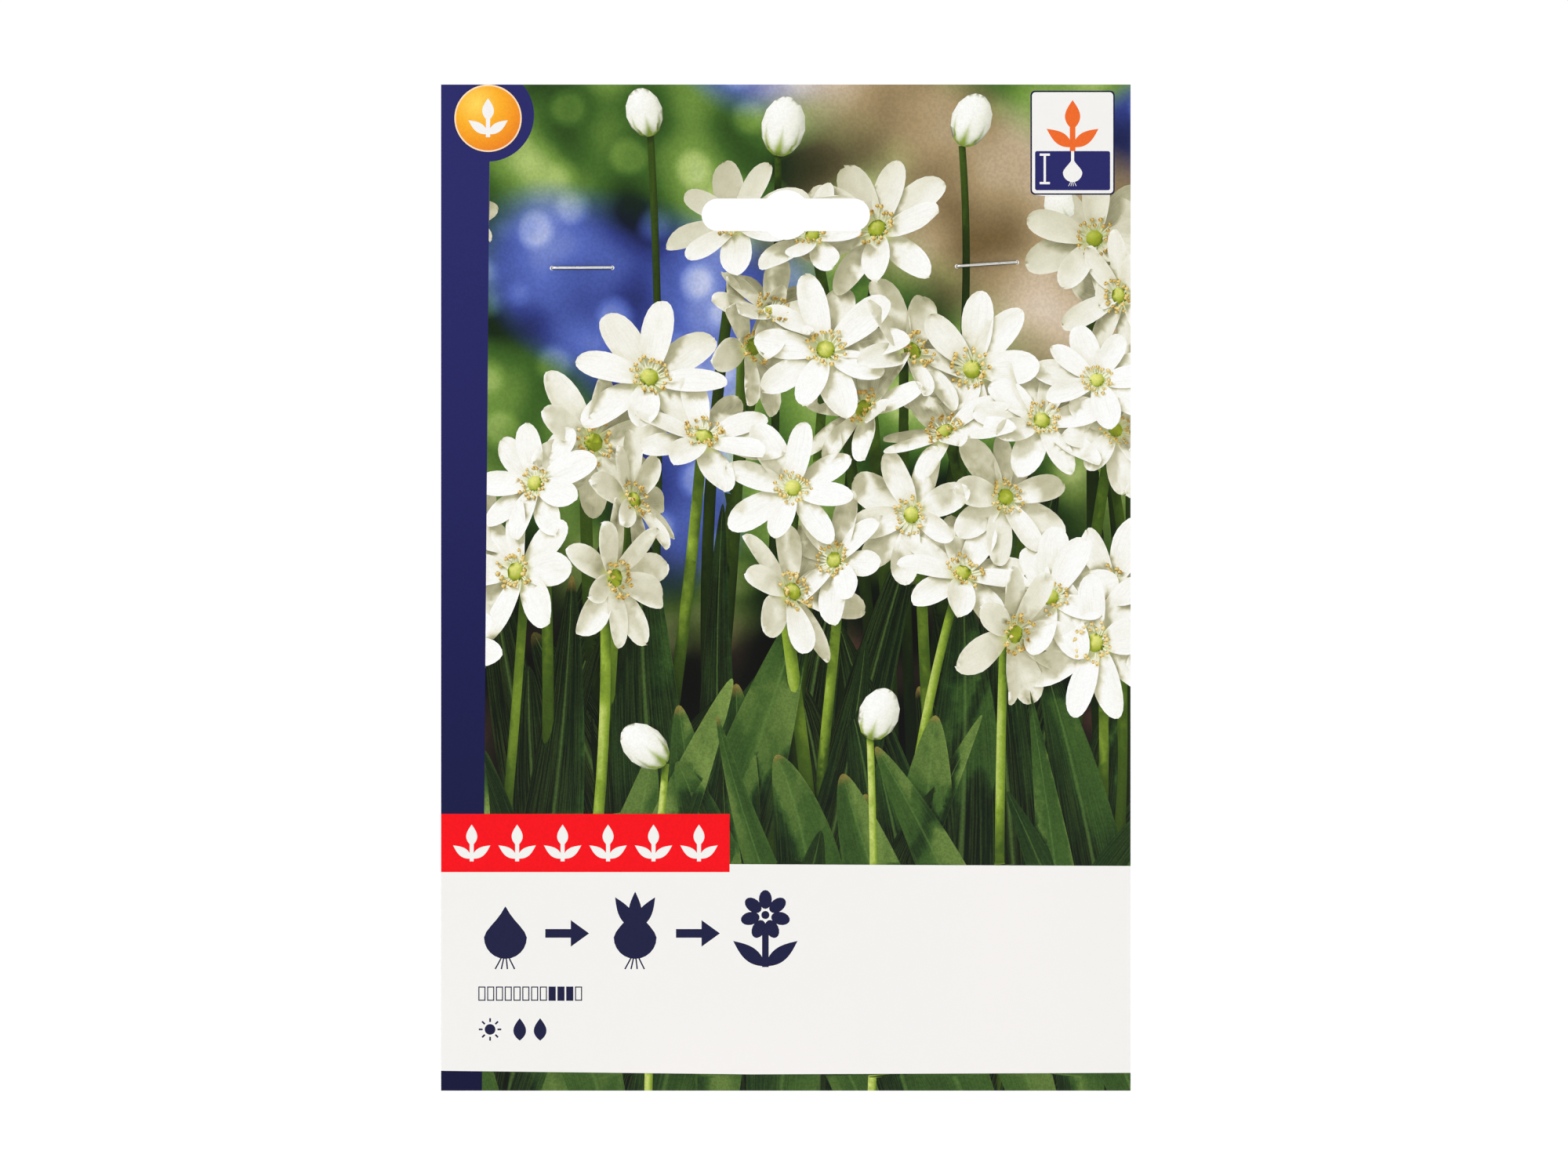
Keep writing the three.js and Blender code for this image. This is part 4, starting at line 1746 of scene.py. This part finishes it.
class Bag:
    """The bag's four layers of film over one flat plan, joined in its seals and at its holes."""

    def __init__(self, bulbs):
        self.plan, self.triangles = bag_plan()
        back = BackFilm(bulbs)
        depths, self.crease = zip(*[back.at(at) for at in self.plan])
        self.outside = [swollen(at, depth) for at, depth in zip(self.plan, depths)]
        self.inward = smooth_normals(self.outside, self.triangles)
        self.form = Form()
        self.known = {}

    def corner(self, layer, v):
        """The number of a plan point's place in a layer. Inside layers end in the weld."""
        if layer.endswith("inside") and pouch_depth(self.plan[v]) <= 1e-3:
            layer = "weld"
        if (layer, v) not in self.known:
            self.known[layer, v] = self.form.add(self.place(layer, v), self.note(layer, v))
        return self.known[layer, v]

    def place(self, layer, v):
        if layer == "back":
            return self.outside[v]
        if layer == "back_inside":
            return self.outside[v] + self.inward[v] * FILM
        raised = {"front": 0, "front_inside": FILM, "weld": FILM + 0.01}[layer]
        return Vector((self.plan[v].x, bag_low.y + raised, self.plan[v].y))

    def note(self, layer, v):
        """What the finish reads: how welded, how creased and how near a hole the film is."""
        at = self.plan[v]
        welded = 0.0 if pouch_depth(at) > 0.05 else 1.0
        if MOUTH_FOOT + SEAL < at.y < bag_high.z - 1:
            welded = 0.25
        near = min((at - middle).length - radius for middle, radius in HOLES)
        rim = 1 - smooth_step(near, 0.0, 0.45) if layer.startswith("back") else 0.0
        return welded, self.crease[v], rim

    def middle(self, corners):
        return middle_of([self.plan[v] for v in corners])

    def whole(self, triangles, holes):
        """The triangles that are in none of the holes."""
        return [
            triangle for triangle in triangles
            if all((self.middle(triangle) - middle).length > radius for middle, radius in holes)
        ]

    def piece(self):
        sheet = self.whole(self.triangles, LEG_HOLES)
        hollow = [triangle for triangle in sheet if pouch_depth(self.middle(triangle)) > 0]
        back = self.whole(sheet, VENTS)
        for layer, triangles, outward in (
            ("front", sheet, True),
            ("front_inside", hollow, False),
            ("back_inside", self.whole(hollow, VENTS), True),
            ("back", back, False),
        ):
            for triangle in triangles:
                corners = [self.corner(layer, v) for v in triangle]
                self.form.face(corners if outward else reversed(corners))
        for a, b in rim_edges(back):
            inner = "back_inside" if pouch_depth(self.middle((a, b))) > 0 else "front"
            ends = [self.corner("back", a), self.corner("back", b)]
            self.form.face([*ends, self.corner(inner, b), self.corner(inner, a)])
        return self.form.piece("clear_bag", [clear_film()], "clear_film", "film_bag")


def clear_film():
    """Clear crisp film: it mirrors a little, more at a slant, and whitens in seals and creases."""
    finish = Finish("clear_film", Base_Color=(0.97, 0.98, 1.0, 1.0))
    seal, crease, rim = finish.stored("note")
    place = finish.place()
    ribs = (place.axis("Z") * 4200).sine().between(-0.6, 0.6)
    haze = seal * (ribs * 0.07 + 0.03) + crease * 0.05 + rim * 0.2
    slant = finish.add("LayerWeight", {}, {"Blend": 0.5}, "Facing")
    cover = (slant**5 * 0.75 + haze + 0.035).least(0.95)
    rough = (haze * 1.5 + 0.06).least(0.6)
    metal = (1 - haze * 3.0).most(0.0)
    normal = finish.bump(finish.noise(place, 160, 1.0), 0.0005, 0.12)
    finish.set(Roughness=rough, Metallic=metal, Normal=normal)
    shown = Value(finish, finish.shader.outputs[0])
    clear = finish.add("BsdfTransparent", {}, {})
    mixed = finish.add("MixShader", {}, {0: cover, 1: clear, 2: shown})
    finish.feed(finish.tree.nodes["Material Output"].inputs["Surface"], mixed)
    return finish.material


def make_floor():
    """A plain white floor well below the hanging pack."""
    finish = Finish("floor_white", Roughness=0.9)
    finish.set(Emission_Color=(1, 1, 1, 1), Emission_Strength=0.25)
    drift = finish.noise(finish.place(), 0.6, 2.0)
    finish.set(Base_Color=finish.mix(drift, (249, 249, 249), (252, 252, 252)))
    drop = 350
    reach = 14000
    corners = rectangle(-reach, reach, reach, -reach)
    places = [Vector((x, y, card_low.z - drop)) for x, y in corners]
    placed("floor", new_mesh("floor", places, [(0, 1, 2, 3)], [finish.material]))


def make_camera():
    """Straight in front of the card, with its centre where the photograph has it."""
    camera = bpy.data.cameras.new("camera")
    camera.lens = 100
    camera.sensor_width = 36
    distance = VIEW_WIDTH * camera.lens / camera.sensor_width
    pixel = VIEW_WIDTH / PHOTO_WIDTH
    left = (PHOTO_WIDTH / 2 - CARD_CENTRE_PIXEL[0]) * pixel
    up = CARD_MIDDLE.z + (CARD_CENTRE_PIXEL[1] - PHOTO_HEIGHT / 2) * pixel
    holder = placed("camera", camera, (left, card_low.y * MM - distance, up))
    holder.rotation_euler = (math.radians(90), 0, 0)
    bpy.context.scene.camera = holder


def add_lamp(name, place, width, height, watts):
    """A flat lamp that looks at the middle of the card."""
    lamp = bpy.data.lights.new(name, "AREA")
    lamp.shape = "RECTANGLE"
    lamp.size = width
    lamp.size_y = height
    lamp.energy = watts
    holder = placed(name, lamp, place)
    holder.rotation_euler = (CARD_MIDDLE - Vector(place)).to_track_quat("-Z", "Y").to_euler()


def make_light():
    """A white surround, dimmer on the printed side, soft lamps and strips for the film."""
    surround = Surround()
    direction = surround.add("TexCoord", {}, {}, "Generated")
    strength = direction.axis("Y").between(-0.45, -0.05, 0.42, 1.02)
    plain = surround.add("LightPath", {}, {}, "Is Camera Ray")
    bpy.context.scene.world = surround.set(Color=(1, 1, 1, 1), Strength=strength.most(plain))
    add_lamp("key_lamp", (-0.6, -1.25, 0.6), 0.5, 0.5, 4.9)
    add_lamp("side_lamp", (1.2, -0.7, 0.3), 0.6, 0.6, 1.5)
    add_lamp("back_lamp", (-0.9, 1.1, 0.7), 0.9, 0.9, 3.2)
    for side in (-1, 1):
        add_lamp("strip_lamp", (0.8 * side, 0.95, 0.35), 0.05, 0.8, 0.7)
    bpy.context.scene.view_settings.view_transform = "Standard"


make_camera()
make_light()
make_floor()
make_card()
for staple_name in STAPLE_ENDS:
    make_staple(staple_name)
Bag(make_bulbs()).piece()
